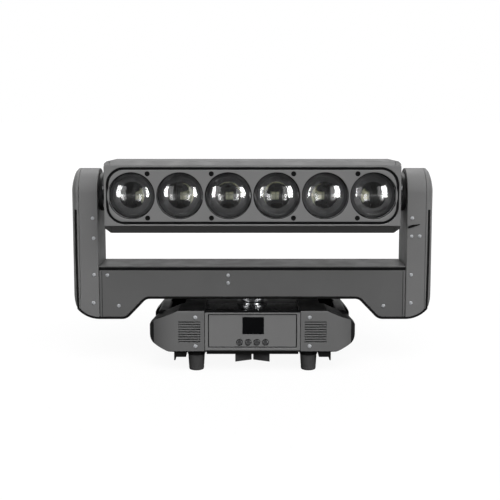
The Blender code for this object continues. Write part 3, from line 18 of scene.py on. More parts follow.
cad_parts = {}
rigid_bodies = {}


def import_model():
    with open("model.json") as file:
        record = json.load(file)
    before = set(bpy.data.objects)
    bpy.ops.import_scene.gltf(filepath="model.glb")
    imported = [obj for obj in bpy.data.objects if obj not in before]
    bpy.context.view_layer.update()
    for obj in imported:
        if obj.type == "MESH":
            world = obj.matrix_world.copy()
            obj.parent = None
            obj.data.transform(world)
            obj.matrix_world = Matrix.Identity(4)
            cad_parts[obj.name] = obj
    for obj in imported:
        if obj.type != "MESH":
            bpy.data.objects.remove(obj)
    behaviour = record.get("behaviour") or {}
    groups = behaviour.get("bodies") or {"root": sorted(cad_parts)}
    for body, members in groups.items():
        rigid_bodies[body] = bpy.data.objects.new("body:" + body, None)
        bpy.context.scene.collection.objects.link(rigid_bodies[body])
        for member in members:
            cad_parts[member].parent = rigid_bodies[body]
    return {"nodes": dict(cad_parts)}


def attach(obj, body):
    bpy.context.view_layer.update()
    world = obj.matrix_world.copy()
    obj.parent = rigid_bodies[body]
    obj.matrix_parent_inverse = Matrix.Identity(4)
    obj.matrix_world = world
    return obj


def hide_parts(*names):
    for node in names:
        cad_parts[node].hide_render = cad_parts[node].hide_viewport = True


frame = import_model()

MM = 0.001
WHITE = (1, 1, 1, 1)
# Height of the tilt axis, and places of the six lenses along it.
TILT_Z = 265.0
LENS_X = (-180.0, -108.0, -36.0, 36.0, 108.0, 180.0)
# Chords round a large turned piece.
ROUND = 96
# Angle in degrees from which an edge shades as sharp.
SHARP = 34.0
# Angle in radians from one screw's socket to the next.
SCREW_TURN = 0.7
# Radius of a slat's edges, as a share of its thickness.
SLAT_EDGE = 0.3
# Distance between the rings of a wave texture at a scale of one.
WAVE_PERIOD = 0.314
LOG = logging.getLogger("moving_head_light")
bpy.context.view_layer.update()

Point = tuple[float, float]
Spot = tuple[float, float, float]
Outline = list[Point]
Profile = tuple[Point, ...]
Places = Sequence[Sequence[float]]
Ring = list[bmesh.types.BMVert]
Piece = bpy.types.Object
Tree = bpy.types.NodeTree
Socket = bpy.types.NodeSocket


class Plane(Enum):
    """Plane in which an outline is drawn; its depth runs along the axis named last."""

    TOP = (0, 1, 2)
    FRONT = (0, 2, 1)
    SIDE = (1, 2, 0)

    def spot(self, u: float, v: float, depth: float) -> Vector:
        """Point in space of an outline's point at a depth.

        Args:
            u: first coordinate in the plane.
            v: second coordinate in the plane.
            depth: distance along the plane's axis.

        Returns:
            The point.
        """
        place = Vector()
        for axis, value in zip(self.value, (u, v, depth)):
            place[axis] = value
        return place


class Side(Enum):
    """End of the light, as seen from in front of its lenses."""

    LEFT = -1
    RIGHT = 1

    @property
    def word(self) -> str:
        """Word for the side in piece and node names."""
        return self.name.lower()


def arc(centre: Point, radius: float, start: float, end: float, steps: int) -> Outline:
    """Points along an arc.

    Args:
        centre: middle of the arc.
        radius: radius of the arc.
        start: first angle, in degrees.
        end: last angle, in degrees.
        steps: number of chords.

    Returns:
        The points, one more than the chords.
    """
    turns = [math.radians(start + (end - start) * step / steps) for step in range(steps + 1)]
    return [(centre[0] + radius * math.cos(a), centre[1] + radius * math.sin(a)) for a in turns]


def circle(centre: Point, radius: float, steps: int = 64) -> Outline:
    """Closed circle drawn with a number of chords."""
    return arc(centre, radius, 0, 360, steps)[:-1]


def filleted(corners: Sequence[Spot], steps: int = 8, closed: bool = True) -> Outline:
    """Outline with its corners rounded.

    Args:
        corners: u, v and radius of each corner.
        steps: chords in each rounded corner.
        closed: whether the last corner joins the first.

    Returns:
        The rounded outline.
    """
    made: Outline = []
    count = len(corners)
    for index, (u, v, radius) in enumerate(corners):
        if radius == 0 or (not closed and index in (0, count - 1)):
            made.append((u, v))
            continue
        here = Vector((u, v))
        before = (Vector(corners[index - 1][:2]) - here).normalized()
        after = (Vector(corners[(index + 1) % count][:2]) - here).normalized()
        half = before.angle(after) / 2
        middle = here + (before + after).normalized() * radius / math.sin(half)
        first = here + before * radius / math.tan(half) - middle
        turn = -first.angle_signed(here + after * radius / math.tan(half) - middle)
        for step in range(steps + 1):
            angle = turn * step / steps
            cos, sin = math.cos(angle), math.sin(angle)
            made.append((middle.x + first.x * cos - first.y * sin, middle.y + first.x * sin + first.y * cos))
    return made


def rounded_box(
    half_u: float, half_v: float, radius: float, centre: Point = (0, 0), steps: int = 10,
) -> Outline:
    """Rectangle with rounded corners, counter-clockwise.

    Args:
        half_u: half its first side.
        half_v: half its second side.
        radius: radius of the corners.
        centre: its middle.
        steps: chords in each corner.

    Returns:
        The outline.
    """
    u, v = centre
    return filleted([
        (u - half_u, v - half_v, radius), (u + half_u, v - half_v, radius),
        (u + half_u, v + half_v, radius), (u - half_u, v + half_v, radius),
    ], steps)


def inset(outline: Outline, depth: float) -> Outline:
    """A counter-clockwise outline drawn in by a depth, or out where the depth is negative.

    Args:
        outline: closed outline.
        depth: distance between the two outlines.

    Returns:
        The new outline, with as many points.
    """
    if depth == 0:
        return list(outline)
    made: Outline = []
    for index, here in enumerate(outline):
        spot = Vector(here)
        into = (spot - Vector(outline[index - 1])).normalized()
        out = (Vector(outline[(index + 1) % len(outline)]) - spot).normalized()
        first, second = Vector((-into.y, into.x)), Vector((-out.y, out.x))
        moved = spot + (first + second) * depth / max(1 + first.dot(second), 0.2)
        made.append((moved.x, moved.y))
    return made


def at_height(first: Point, second: Point, height: float) -> Point:
    """Point at a height on the line through two points."""
    share = (height - first[1]) / (second[1] - first[1])
    return first[0] + share * (second[0] - first[0]), first[1] + share * (second[1] - first[1])


def both_signs(value: float) -> Point:
    """A distance to either side of the middle."""
    return -value, value


def linear(colour: str) -> tuple[float, float, float, float]:
    """Linear colour of an sRGB hex code such as 5b5c5e."""
    shares = [int(colour[at:at + 2], 16) / 255 for at in (0, 2, 4)]
    return *(s / 12.92 if s <= 0.04045 else ((s + 0.055) / 1.055) ** 2.4 for s in shares), 1.0


def add_node(
    tree: Tree, kind: str, inputs: dict[str | int, object] | None = None, **settings: object,
) -> bpy.types.Node:
    """Add a node to a tree.

    Args:
        tree: shader or geometry tree.
        kind: Blender's name of the node type.
        inputs: value or source socket of each input, by name or place.
        settings: properties of the node.

    Returns:
        The node.
    """
    node = tree.nodes.new(kind)
    for name, value in settings.items():
        setattr(node, name, value)
    for name, value in (inputs or {}).items():
        if isinstance(value, Socket):
            tree.links.new(value, node.inputs[name])
        else:
            node.inputs[name].default_value = value
    return node


def calculate(tree: Tree, operation: str, first: Socket | float, second: Socket | float = 0.0) -> Socket:
    """Outcome of a sum with two numbers, in a shader or geometry tree."""
    return add_node(tree, "ShaderNodeMath", {0: first, 1: second}, operation=operation).outputs[0]


def empty_tree(owner: bpy.types.Material | bpy.types.World) -> Tree:
    """Node tree of a material or a world, with nothing in it.

    Args:
        owner: the material or the world.

    Returns:
        The empty tree.
    """
    owner.use_nodes = True
    owner.node_tree.nodes.clear()
    return owner.node_tree


def add_object(name: str, data: bpy.types.ID) -> Piece:
    """New object at the origin of the scene.

    Args:
        name: its name.
        data: its mesh, lamp or camera.

    Returns:
        The object.
    """
    item = bpy.data.objects.new(name, data)
    bpy.context.scene.collection.objects.link(item)
    return item


class Grain(Enum):
    """How a surface was made, which gives its fine relief."""

    SPRAYED = "orange peel of a sprayed and baked coat"
    MOULDED = "spark-eroded texture of a mould"
    TURNED = "rings left by a lathe, about the vertical axis"
    DRAWN = "lines along the length of a drawn or extruded bar"
    CLEAR = "polished or cast smooth, with a little dust"


@dataclass(frozen=True)
class Finish:
    """A material and how its surface was made.

    The relief and the mottling are drawn at their real size, from Object coordinates.
    """

    name: str
    colour: str
    mottled: str
    roughness: float
    grain: Grain = Grain.MOULDED
    grain_size: float = 0.6
    grain_depth: float = 0.012
    mottle_size: float = 45.0
    spread: float = 0.08
    metallic: float = 0.0
    specular: float = 0.5
    transmission: float = 0.0
    ior: float = 1.5

    @property
    def material(self) -> bpy.types.Material:
        """The Blender material, made on first use."""
        return bpy.data.materials.get(self.name) or self.make()

    def relief(self, tree: Tree, place: Socket) -> Socket:
        """Height pattern of the fine relief.

        Args:
            tree: the material's tree.
            place: Object coordinates.

        Returns:
            The socket with the height.
        """
        scale = 1 / (self.grain_size * MM)
        if self.grain is Grain.TURNED:
            rings = {"Vector": place, "Scale": WAVE_PERIOD * scale, "Distortion": 1.5, "Detail": 1.0}
            wave = add_node(tree, "ShaderNodeTexWave", rings, wave_type="RINGS", rings_direction="Z")
            return wave.outputs["Fac"]
        # Drawn lines are about thirty times as long as they are wide.
        stretch = (0.03, 1, 1) if self.grain is Grain.DRAWN else (1, 1, 1)
        turned = add_node(tree, "ShaderNodeMapping", {"Vector": place, "Scale": stretch})
        if self.grain is Grain.MOULDED:
            cells = {"Vector": turned.outputs["Vector"], "Scale": scale}
            return add_node(tree, "ShaderNodeTexVoronoi", cells, feature="SMOOTH_F1").outputs["Distance"]
        noise = {"Vector": turned.outputs["Vector"], "Scale": scale, "Detail": 2.0, "Roughness": 0.5}
        return add_node(tree, "ShaderNodeTexNoise", noise).outputs["Fac"]

    def tint(self, tree: Tree, place: Socket) -> Socket:
        """Colour over the surface, slightly mottled.

        Args:
            tree: the material's tree.
            place: Object coordinates.

        Returns:
            The socket with the colour.
        """
        cloud = add_node(tree, "ShaderNodeTexNoise", {
            "Vector": place, "Scale": 1 / (self.mottle_size * MM), "Detail": 4.0, "Roughness": 0.6,
        })
        ramp = add_node(tree, "ShaderNodeValToRGB", {"Fac": cloud.outputs["Fac"]})
        for element, at, colour in zip(ramp.color_ramp.elements, (0.32, 0.68), (self.mottled, self.colour)):
            element.position, element.color = at, linear(colour)
        return ramp.outputs["Color"]

    def make(self) -> bpy.types.Material:
        """Build the material's nodes.

        Returns:
            The new material.
        """
        material = bpy.data.materials.new(self.name)
        tree = empty_tree(material)
        place = add_node(tree, "ShaderNodeTexCoord").outputs["Object"]
        smudge = add_node(tree, "ShaderNodeTexNoise", {"Vector": place, "Scale": 38.0, "Detail": 5.0})
        rough = add_node(tree, "ShaderNodeMapRange", {
            "Value": smudge.outputs["Fac"], "From Min": 0.3, "From Max": 0.7,
            "To Min": max(self.roughness - self.spread, 0.0), "To Max": self.roughness + self.spread,
        })
        bump = add_node(tree, "ShaderNodeBump", {
            "Height": self.relief(tree, place), "Strength": 0.6, "Distance": self.grain_depth * MM,
        })
        surface = add_node(tree, "ShaderNodeBsdfPrincipled", {
            "Base Color": self.tint(tree, place), "Roughness": rough.outputs["Result"],
            "Normal": bump.outputs["Normal"], "Metallic": self.metallic, "Specular IOR Level": self.specular,
            "Transmission Weight": self.transmission, "IOR": self.ior,
        })
        add_node(tree, "ShaderNodeOutputMaterial", {"Surface": surface.outputs["BSDF"]})
        return material


@dataclass(frozen=True)
class GridFinish(Finish):
    """A finish with a printed or diced square pattern across its face."""

    line: str = "000000"
    pitch: float = 5.0
    width: float = 0.1

    def tint(self, tree: Tree, place: Socket) -> Socket:
        """Colour of the squares and of the lines between them.

        Args:
            tree: the material's tree.
            place: Object coordinates.

        Returns:
            The socket with the colour.
        """
        flat = add_node(tree, "ShaderNodeMapping", {"Vector": place, "Rotation": (math.pi / 2, 0, 0)})
        bricks = add_node(tree, "ShaderNodeTexBrick", {
            "Vector": flat.outputs["Vector"], "Color1": linear(self.colour), "Color2": linear(self.mottled),
            "Mortar": linear(self.line), "Scale": 1.0, "Mortar Size": self.width * self.pitch * MM,
            "Brick Width": self.pitch * MM, "Row Height": self.pitch * MM,
        }, offset=0.0)
        return bricks.outputs["Color"]


@dataclass(frozen=True)
class EndFinish(Finish):
    """A finish with painted shade: a second, darker colour beyond a distance from the middle."""

    # Colour of the painted shade on the ends.
    end: str = "000000"
    reach: float = 100.0

    def tint(self, tree: Tree, place: Socket) -> Socket:
        """Colour with the painted shade at both ends.

        Args:
            tree: the material's tree.
            place: Object coordinates.

        Returns:
            The socket with the colour.
        """
        axes = add_node(tree, "ShaderNodeSeparateXYZ", {"Vector": place})
        away = calculate(tree, "ABSOLUTE", axes.outputs["X"])
        shaded_end = calculate(tree, "GREATER_THAN", away, self.reach * MM)
        return add_node(tree, "ShaderNodeMixRGB", {
            "Fac": shaded_end, "Color1": super().tint(tree, place), "Color2": linear(self.end),
        }).outputs["Color"]


# Mild steel sheet, degreased, sprayed with a fine charcoal powder and baked.
STEEL_COAT = Finish(
    "powder_coated_steel_charcoal", "5d5d5d", "5a5a5a", 0.5, Grain.SPRAYED,
    grain_size=1.1, mottle_size=60.0, specular=0.2,
)
# The same powder on the arms and the menu panel, painted a shade lighter: painted light for faces that catch
# more light than the crossbar.
PAINTED_LIGHT_COAT = replace(STEEL_COAT, name="twice_powder_coated_steel", colour="6e6e6e", mottled="6b6b6b")
# The same powder over the head's die-cast panel, painted a shade lighter as painted light on its front.
PANEL_COAT = replace(STEEL_COAT, name="powder_coated_aluminium_charcoal", colour="757575", mottled="727272")
# Black powder on the tray under the base, painted as shade of the underside.
TRAY_COAT = replace(
    STEEL_COAT, name="powder_coated_steel_black", colour="161616", mottled="1b1b1b",
    roughness=0.55, specular=0.12,
)
# Injection-moulded ABS, with painted shade: black on its outer sides, which turn away from the light.
BASE_ABS = EndFinish(
    "moulded_abs_charcoal_black_ends", "646464", "616161", 0.5,
    grain_size=0.5, mottle_size=70.0, specular=0.12, end="121213", reach=149.5,
)
# Injection-moulded ABS with a spark-eroded texture.
HOUSING_ABS = Finish(
    "moulded_abs_charcoal", "646464", "616161", 0.5, grain_size=0.5, mottle_size=70.0, specular=0.12,
)
# Black acrylic deck over the base, rubbed to a satin polish; its black is partly painted shade under the
# crossbar.
DECK_ACRYLIC = Finish(
    "polished_black_acrylic", "0a0a0b", "0d0d0e", 0.14, Grain.CLEAR,
    grain_size=6.0, grain_depth=0.0005, mottle_size=80.0, spread=0.02,
)
# Glass-filled black nylon mouldings.
NYLON = Finish(
    "moulded_black_nylon", "121213", "0e0e0f", 0.55,
    grain_size=0.5, grain_depth=0.015, mottle_size=30.0, specular=0.12,
)
# Grey silicone keys, lacquered.
KEYCAP = Finish(
    "lacquered_grey_silicone", "3c3c3d", "363637", 0.3, grain_size=0.5, grain_depth=0.008, mottle_size=12.0,
)
# Compression-moulded black rubber, slightly dusty.
RUBBER = Finish(
    "moulded_black_rubber", "141414", "1a1a1a", 0.72,
    grain_size=0.8, grain_depth=0.03, mottle_size=18.0, spread=0.1, specular=0.1,
)
# Softer grey rubber of the feet.
FOOT_RUBBER = replace(RUBBER, name="moulded_grey_rubber", colour="464646", mottled="3e3e3e", roughness=0.7)
# Steel turned on a lathe, hard-chromed and polished.
TURNED_STEEL = Finish(
    "turned_chromed_steel", "d4d5d7", "c6c7ca", 0.24, Grain.TURNED,
    grain_size=0.35, grain_depth=0.004, mottle_size=20.0, spread=0.05, metallic=1.0,
)
# Zinc-plated screws, tumbled.
ZINC = Finish(
    "zinc_plated_steel", "c2c4c7", "b4b6b9", 0.45, Grain.SPRAYED,
    grain_size=0.4, grain_depth=0.006, mottle_size=4.0, spread=0.1, metallic=0.3,
)
# Screws and levers blackened in hot oxide.
BLACK_OXIDE = Finish(
    "black_oxide_steel", "080808", "0e0e0e", 0.5, Grain.SPRAYED,
    grain_size=0.4, grain_depth=0.006, mottle_size=3.0, specular=0.15,
)
# Machined aluminium, anodised black and matt.
BLACK_ANODISED = Finish(
    "black_anodised_aluminium", "161617", "1e1e1f", 0.48, Grain.TURNED,
    grain_size=0.4, grain_depth=0.008, mottle_size=25.0,
)
# Extruded aluminium left bare.
EXTRUDED = Finish(
    "extruded_bare_aluminium", "9fa1a4", "8e9093", 0.42, Grain.DRAWN,
    grain_size=0.3, grain_depth=0.01, mottle_size=30.0, spread=0.1, metallic=1.0,
)
# Pressed optical acrylic, polished clear.
LENS_ACRYLIC = Finish(
    "pressed_clear_acrylic", "ffffff", "fbfcfc", 0.045, Grain.CLEAR,
    grain_size=9.0, grain_depth=0.0001, mottle_size=20.0, spread=0.01,
    specular=1.0, transmission=1.0, ior=1.49,
)
# Dark grey coat on the rim and outer back of each lens, painted shade that gives the glass its dark edge and
# grey tone; the same grey lacquer covers the bracket lock.
LENS_EDGE = Finish(
    "brushed_black_lens_lacquer", "3c3c3d", "383839", 0.6, Grain.SPRAYED,
    grain_size=0.8, grain_depth=0.01, mottle_size=9.0, specular=0.1,
)
# Screen-printed board with a matt black mask.
BOARD = GridFinish(
    "masked_circuit_board", "121314", "151617", 0.5, Grain.CLEAR,
    grain_size=2.0, grain_depth=0.006, line="232525", pitch=6.0, width=0.05,
)
# Silicone phosphor poured over the diodes.
PHOSPHOR = GridFinish(
    "cast_phosphor_silicone", "c6c4a0", "b8baa0", 0.5, Grain.CLEAR,
    grain_size=1.0, grain_depth=0.01, line="8d9278", pitch=2.6, width=0.12,
)
# Hard-coated cover glass over an unlit display.
SCREEN_GLASS = Finish(
    "hard_coated_screen_glass", "050506", "08090b", 0.08, Grain.CLEAR,
    grain_size=4.0, grain_depth=0.001, mottle_size=25.0, spread=0.03, specular=0.15,
)
# Neoprene belt with a woven face.
BELT = Finish(
    "moulded_neoprene_belt", "171717", "202020", 0.65, Grain.DRAWN,
    grain_size=0.8, grain_depth=0.03, mottle_size=8.0,
)


class Shape:
    """A closed mesh under construction, in millimetres."""

    def __init__(self) -> None:
        """Start with an empty mesh and the first finish."""
        self.mesh = bmesh.new()
        self.coat = 0

    def ring(self, spots: Iterable[Vector]) -> Ring:
        """Add the points of one ring."""
        return [self.mesh.verts.new(spot) for spot in spots]

    def face(self, corners: Sequence[bmesh.types.BMVert]) -> None:
        """Add a face in the present finish, unless its corners coincide."""
        if len(set(corners)) > 2:
            self.mesh.faces.new(corners).material_index = self.coat

    def skin(self, rings: Sequence[Ring]) -> None:
        """Join each ring to the next with quads.

        Args:
            rings: closed rings of equal length, or of one point at a pole.
        """
        for low, high in zip(rings, rings[1:]):
            count = max(len(low), len(high))
            for index in range(count):
                after = (index + 1) % count
                corners = [low[index % len(low)], low[after % len(low)]]
                corners += [high[after % len(high)], high[index % len(high)]]
                self.face(list(dict.fromkeys(corners)))

    def fill(self, loops: Sequence[tuple[Outline, Ring]]) -> None:
        """Close a flat area.

        Args:
            loops: outline and points of the outer ring, then of each hole.
        """
        corners = [corner for _, ring in loops for corner in ring]
        flat = [[Vector((u, v, 0)) for u, v in outline] for outline, _ in loops]
        for triangle in tessellate_polygon(flat):
            self.face([corners[index] for index in triangle])

    def loft(self, rows: Sequence[tuple[Outline, list[Vector]]]) -> "Shape":
        """Add a closed form through a row of outlines.

        Args:
            rows: flat outline of each row, and its points in space.

        Returns:
            This shape.
        """
        rings = [self.ring(spots) for _, spots in rows]
        self.skin(rings)
        for at in (0, -1):
            self.fill([(rows[at][0], rings[at])])
        return self

    def plate(
        self, outline: Outline, plane: Plane, low: float, high: float,
        holes: Sequence[Outline] = (), edge: float = 0.6, steps: int = 3,
    ) -> "Shape":
        """Add a solid of one outline between two depths, with rounded rims.

        Args:
            outline: counter-clockwise outline.
            plane: plane of the outline.
            low: lowest depth.
            high: highest depth.
            holes: counter-clockwise holes through it.
            edge: radius of the rims.
            steps: chords across a rim.

        Returns:
            This shape.
        """
        turns = [math.pi / 2 * step / steps for step in range(steps + 1)]
        rise = [(low + edge * (1 - math.cos(a)), edge * (1 - math.sin(a))) for a in turns]
        levels = rise + [(low + high - depth, back) for depth, back in reversed(rise)]
        ends: list[list[tuple[Outline, Ring]]] = [[], []]
        for loop, sign in [(outline, 1), *((hole, -1) for hole in holes)]:
            drawn = [inset(loop, sign * back) for _, back in levels]
            rings = [
                self.ring(plane.spot(u, v, depth) for u, v in points)
                for points, (depth, _) in zip(drawn, levels)
            ]
            self.skin(rings)
            ends[0].append((drawn[0], rings[0]))
            ends[1].append((drawn[-1], rings[-1]))
        for loops in ends:
            self.fill(loops)
        return self

    def lathe(
        self, profile: Sequence[Point], plane: Plane, centre: Point, closed: bool = False, steps: int = 64,
    ) -> "Shape":
        """Add a turned solid.

        Args:
            profile: radius and depth of each point.
            plane: plane across the axis.
            centre: where the axis crosses that plane.
            closed: whether the last point joins the first, as on a ring.
            steps: chords round the axis.

        Returns:
            This shape.
        """
        rings = []
        for radius, depth in profile:
            points = circle(centre, radius, steps) if radius > 0 else [centre]
            rings.append(self.ring(plane.spot(u, v, depth) for u, v in points))
        self.skin([*rings, rings[0]] if closed else rings)
        return self

    def piece(self, name: str, *finishes: Finish) -> Piece:
        """Turn the mesh into an object at the origin.

        Args:
            name: name of the piece.
            finishes: one finish for each coat used.

        Returns:
            The object.
        """
        bmesh.ops.remove_doubles(self.mesh, verts=self.mesh.verts, dist=0.0005)
        bmesh.ops.recalc_face_normals(self.mesh, faces=self.mesh.faces)
        bmesh.ops.scale(self.mesh, vec=(MM, MM, MM), verts=self.mesh.verts)
        mesh = bpy.data.meshes.new(name)
        self.mesh.to_mesh(mesh)
        self.mesh.free()
        for finish in finishes:
            mesh.materials.append(finish.material)
        return shade(add_object(name, mesh))


def shade(item: Piece) -> Piece:
    """Shade an object smooth between its sharp edges, with flats kept flat.

    Args:
        item: the object.

    Returns:
        The object.
    """
    item.data.polygons.foreach_set("use_smooth", [True] * len(item.data.polygons))
    item.data.set_sharp_from_angle(angle=math.radians(SHARP))
    item.modifiers.new("Flat faces", "WEIGHTED_NORMAL").keep_sharp = True
    return item


def settle(item: Piece) -> Piece:
    """Make a piece's modifiers part of its mesh.

    Args:
        item: the piece.

    Returns:
        The piece.
    """
    evaluated = item.evaluated_get(bpy.context.evaluated_depsgraph_get())
    mesh = bpy.data.meshes.new_from_object(evaluated)
    item.modifiers.clear()
    item.data = mesh
    return item


def carve(item: Piece, *cutters: Piece) -> Piece:
    """Cut other objects out of a piece and delete them.

    Args:
        item: the piece.
        cutters: closed objects to take away.

    Returns:
        The piece.
    """
    item.modifiers.clear()
    for cutter in cutters:
        cutter.modifiers.clear()
        modifier = item.modifiers.new("Cut", "BOOLEAN")
        modifier.object = cutter
        modifier.solver = "EXACT"
    settle(item)
    for cutter in cutters:
        bpy.data.objects.remove(cutter)
    return item


def fit(item: Piece, body: str, slot: str, *nodes: str) -> Piece:
    """Hang a piece on its body and report it.

    Args:
        item: the piece.
        body: body that it moves with.
        slot: material slot of the record; not used.
        nodes: solids of the frame that it stands for.

    Returns:
        The piece.
    """
    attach(item, body)
    if nodes:
        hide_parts(*nodes)
    LOG.info("%s on %s, %d faces", item.name, body, len(item.data.polygons))
    return item


def dress(finish: Finish, *nodes: str) -> None:
    """Give solids of the frame their finish.

    Args:
        finish: the finish.
        nodes: the solids.
    """
    for node in nodes:
        materials = frame["nodes"][node].data.materials
        materials.clear()
        materials.append(finish.material)
        LOG.info("%s keeps its solid, in %s", node, finish.name)


def soften(node: str, name: str, finish: Finish, radius: float = 0.6) -> Piece:
    """Copy a solid of the frame with its edges rounded.

    Args:
        node: the solid.
        name: name of the new piece.
        finish: its finish.
        radius: radius of its edges.

    Returns:
        The new object.
    """
    work = bmesh.new()
    work.from_mesh(frame["nodes"][node].data)
    bmesh.ops.remove_doubles(work, verts=work.verts, dist=0.00001)
    bmesh.ops.dissolve_limit(work, angle_limit=math.radians(1), verts=work.verts, edges=work.edges)
    mesh = bpy.data.meshes.new(name)
    work.to_mesh(mesh)
    work.free()
    mesh.materials.append(finish.material)
    item = add_object(name, mesh)
    bevel = item.modifiers.new("Edges", "BEVEL")
    bevel.width = radius * MM
    bevel.segments = 3
    bevel.limit_method = "ANGLE"
    bevel.angle_limit = math.radians(40)
    bevel.use_clamp_overlap = True
    return shade(settle(item))


class Recipe:
    """A geometry tree with named sizes, grown once into a plain mesh."""

    def __init__(self, name: str, finish: Finish, lengths: dict[str, float], count: int = 1) -> None:
        """Start a tree.

        Args:
            name: name of the tree.
            finish: finish of what grows.
            lengths: named lengths in millimetres.
            count: number of copies, for what repeats along a line or round an axis.
        """
        self.tree = bpy.data.node_groups.new(name, "GeometryNodeTree")
        self.values: dict[str, object] = {}
        face = self.tree.interface
        face.new_socket("Geometry", in_out="INPUT", socket_type="NodeSocketGeometry")
        for label, length in lengths.items():
            socket = face.new_socket(label, in_out="INPUT", socket_type="NodeSocketFloat")
            self.values[socket.identifier] = length * MM
        for label, kind, value in (("Count", "Int", count), ("Finish", "Material", finish.material)):
            socket = face.new_socket(label, in_out="INPUT", socket_type="NodeSocket" + kind)
            self.values[socket.identifier] = value
        face.new_socket("Geometry", in_out="OUTPUT", socket_type="NodeSocketGeometry")
        self.given = add_node(self.tree, "NodeGroupInput").outputs

    def add(self, kind: str, inputs: dict[str | int, object] | None = None, **settings: object) -> Socket:
        """First output of a new node in the tree."""
        return add_node(self.tree, kind, inputs, **settings).outputs[0]

    def vector(self, x: Socket | float = 0.0, y: Socket | float = 0.0, z: Socket | float = 0.0) -> Socket:
        """Vector of three numbers."""
        return self.add("ShaderNodeCombineXYZ", {"X": x, "Y": y, "Z": z})

    def turns(self, step: float) -> Socket:
        """Angle in radians that grows by a step from one copy to the next."""
        return calculate(self.tree, "MULTIPLY", self.add("GeometryNodeInputIndex"), step)

    def sweep(self, path: Socket, section: Socket) -> Socket:
        """Closed mesh of a section that runs along a path."""
        return self.add("GeometryNodeCurveToMesh", {
            "Curve": path, "Profile Curve": section, "Fill Caps": True,
        })

    def grow(
        self, name: str, grown: Socket, spots: Places = (), facing: Places = (), linked: bool = False,
    ) -> Piece:
        """Evaluate the tree into a plain mesh.

        Args:
            name: name of the piece.
            grown: socket with the finished instances or mesh.
            spots: points that the tree starts from.
            facing: direction at each point.
            linked: whether each point joins the next, as along a path.

        Returns:
            The object, with no modifier that grows.
        """
        real = self.add("GeometryNodeRealizeInstances", {"Geometry": grown})
        coated = self.add("GeometryNodeSetMaterial", {"Geometry": real, "Material": self.given["Finish"]})
        add_node(self.tree, "NodeGroupOutput", {"Geometry": coated})
        mesh = bpy.data.meshes.new(name)
        edges = [(at, at + 1) for at in range(len(spots) - 1)] if linked else []
        mesh.from_pydata([[value * MM for value in spot] for spot in spots], edges, [])
        if facing:
            attribute = mesh.attributes.new("facing", "FLOAT_VECTOR", "POINT")
            attribute.data.foreach_set("vector", [float(value) for way in facing for value in way])
        item = add_object(name, mesh)
        modifier = item.modifiers.new(name, "NODES")
        modifier.node_group = self.tree
        for identifier, value in self.values.items():
            modifier[identifier] = value
        return shade(settle(item))


def grow_screws(
    name: str, finish: Finish, spots: Places, facing: Places | Sequence[float],
    radius: float = 2.7, height: float = 1.3, key: float = 1.25,
) -> Piece:
    """Button-head screws with hexagon sockets, each turned a little from the last.

    Args:
        name: name of the piece.
        finish: plating of the screws.
        spots: where each head meets the surface.
        facing: way that each head points, or one way for all.
        radius: radius of a head.
        height: height of a head.
        key: radius of the hexagon socket.

    Returns:
        One object with all the heads.
    """
    ways = facing if isinstance(facing[0], (tuple, list)) else [facing] * len(spots)
    recipe = Recipe("button_head_screws", finish, {
        "Head Radius": radius, "Head Height": height, "Key Radius": key,
    })
    given = recipe.given
    ball = recipe.add("GeometryNodeMeshUVSphere", {"Segments": 20, "Rings": 10, "Radius": 1.0})
    size = recipe.vector(given["Head Radius"], given["Head Radius"], given["Head Height"])
    dome = recipe.add("GeometryNodeTransform", {"Geometry": ball, "Scale": size})
    hexagon = recipe.add("GeometryNodeMeshCylinder", {
        "Vertices": 6, "Radius": given["Key Radius"], "Depth": given["Head Height"],
    })
    lift = recipe.vector(z=given["Head Height"])
    drill = recipe.add("GeometryNodeTransform", {"Geometry": hexagon, "Translation": lift})
    head = recipe.add("GeometryNodeMeshBoolean", {"Mesh 1": dome, "Mesh 2": drill}, operation="DIFFERENCE")
    way = recipe.add("GeometryNodeInputNamedAttribute", {"Name": "facing"}, data_type="FLOAT_VECTOR")
    aim = recipe.add("FunctionNodeAlignRotationToVector", {"Vector": way}, axis="Z")
    spin = recipe.add("FunctionNodeAxisAngleToRotation", {"Angle": recipe.turns(SCREW_TURN)})
    turned = recipe.add("FunctionNodeRotateRotation", {
        "Rotation": aim, "Rotate By": spin,
    }, rotation_space="LOCAL")
    placed = recipe.add("GeometryNodeInstanceOnPoints", {
        "Points": given["Geometry"], "Instance": head, "Rotation": turned,
    })
    return recipe.grow(name, placed, spots, ways)


def grow_slats(name: str, finish: Finish, first: Spot, pitch: float, count: int, size: Spot) -> Piece:
    """A stack of bars along X with rounded edges, one above the other.

    Args:
        name: name of the piece.
        finish: finish of the bars.
        first: middle of the lowest bar.
        pitch: rise from one bar to the next.
        count: number of bars.
        size: size of a bar along X, Y and Z.

    Returns:
        One object with all the bars.
    """
    length, depth, height = size
    recipe = Recipe("stacked_bars", finish, {
        "Half Length": length / 2, "Depth": depth, "Height": height, "Pitch": pitch,
        "Edge": min(depth, height) * SLAT_EDGE, "First X": first[0], "First Y": first[1], "First Z": first[2],
    }, count)
    given = recipe.given
    start = recipe.vector(calculate(recipe.tree, "MULTIPLY", given["Half Length"], -1.0))
    end = recipe.vector(given["Half Length"])
    run = recipe.add("GeometryNodeCurvePrimitiveLine", {"Start": start, "End": end})
    block = recipe.add("GeometryNodeCurvePrimitiveQuadrilateral", {
        "Width": given["Depth"], "Height": given["Height"],
    })
    soft = recipe.add("GeometryNodeFilletCurve", {
        "Curve": block, "Radius": given["Edge"], "Count": 3,
    }, mode="POLY")
    line = recipe.add("GeometryNodeMeshLine", {
        "Count": given["Count"], "Offset": recipe.vector(z=given["Pitch"]),
        "Start Location": recipe.vector(given["First X"], given["First Y"], given["First Z"]),
    })
    bars = recipe.add("GeometryNodeInstanceOnPoints", {"Points": line, "Instance": recipe.sweep(run, soft)})
    return recipe.grow(name, bars)


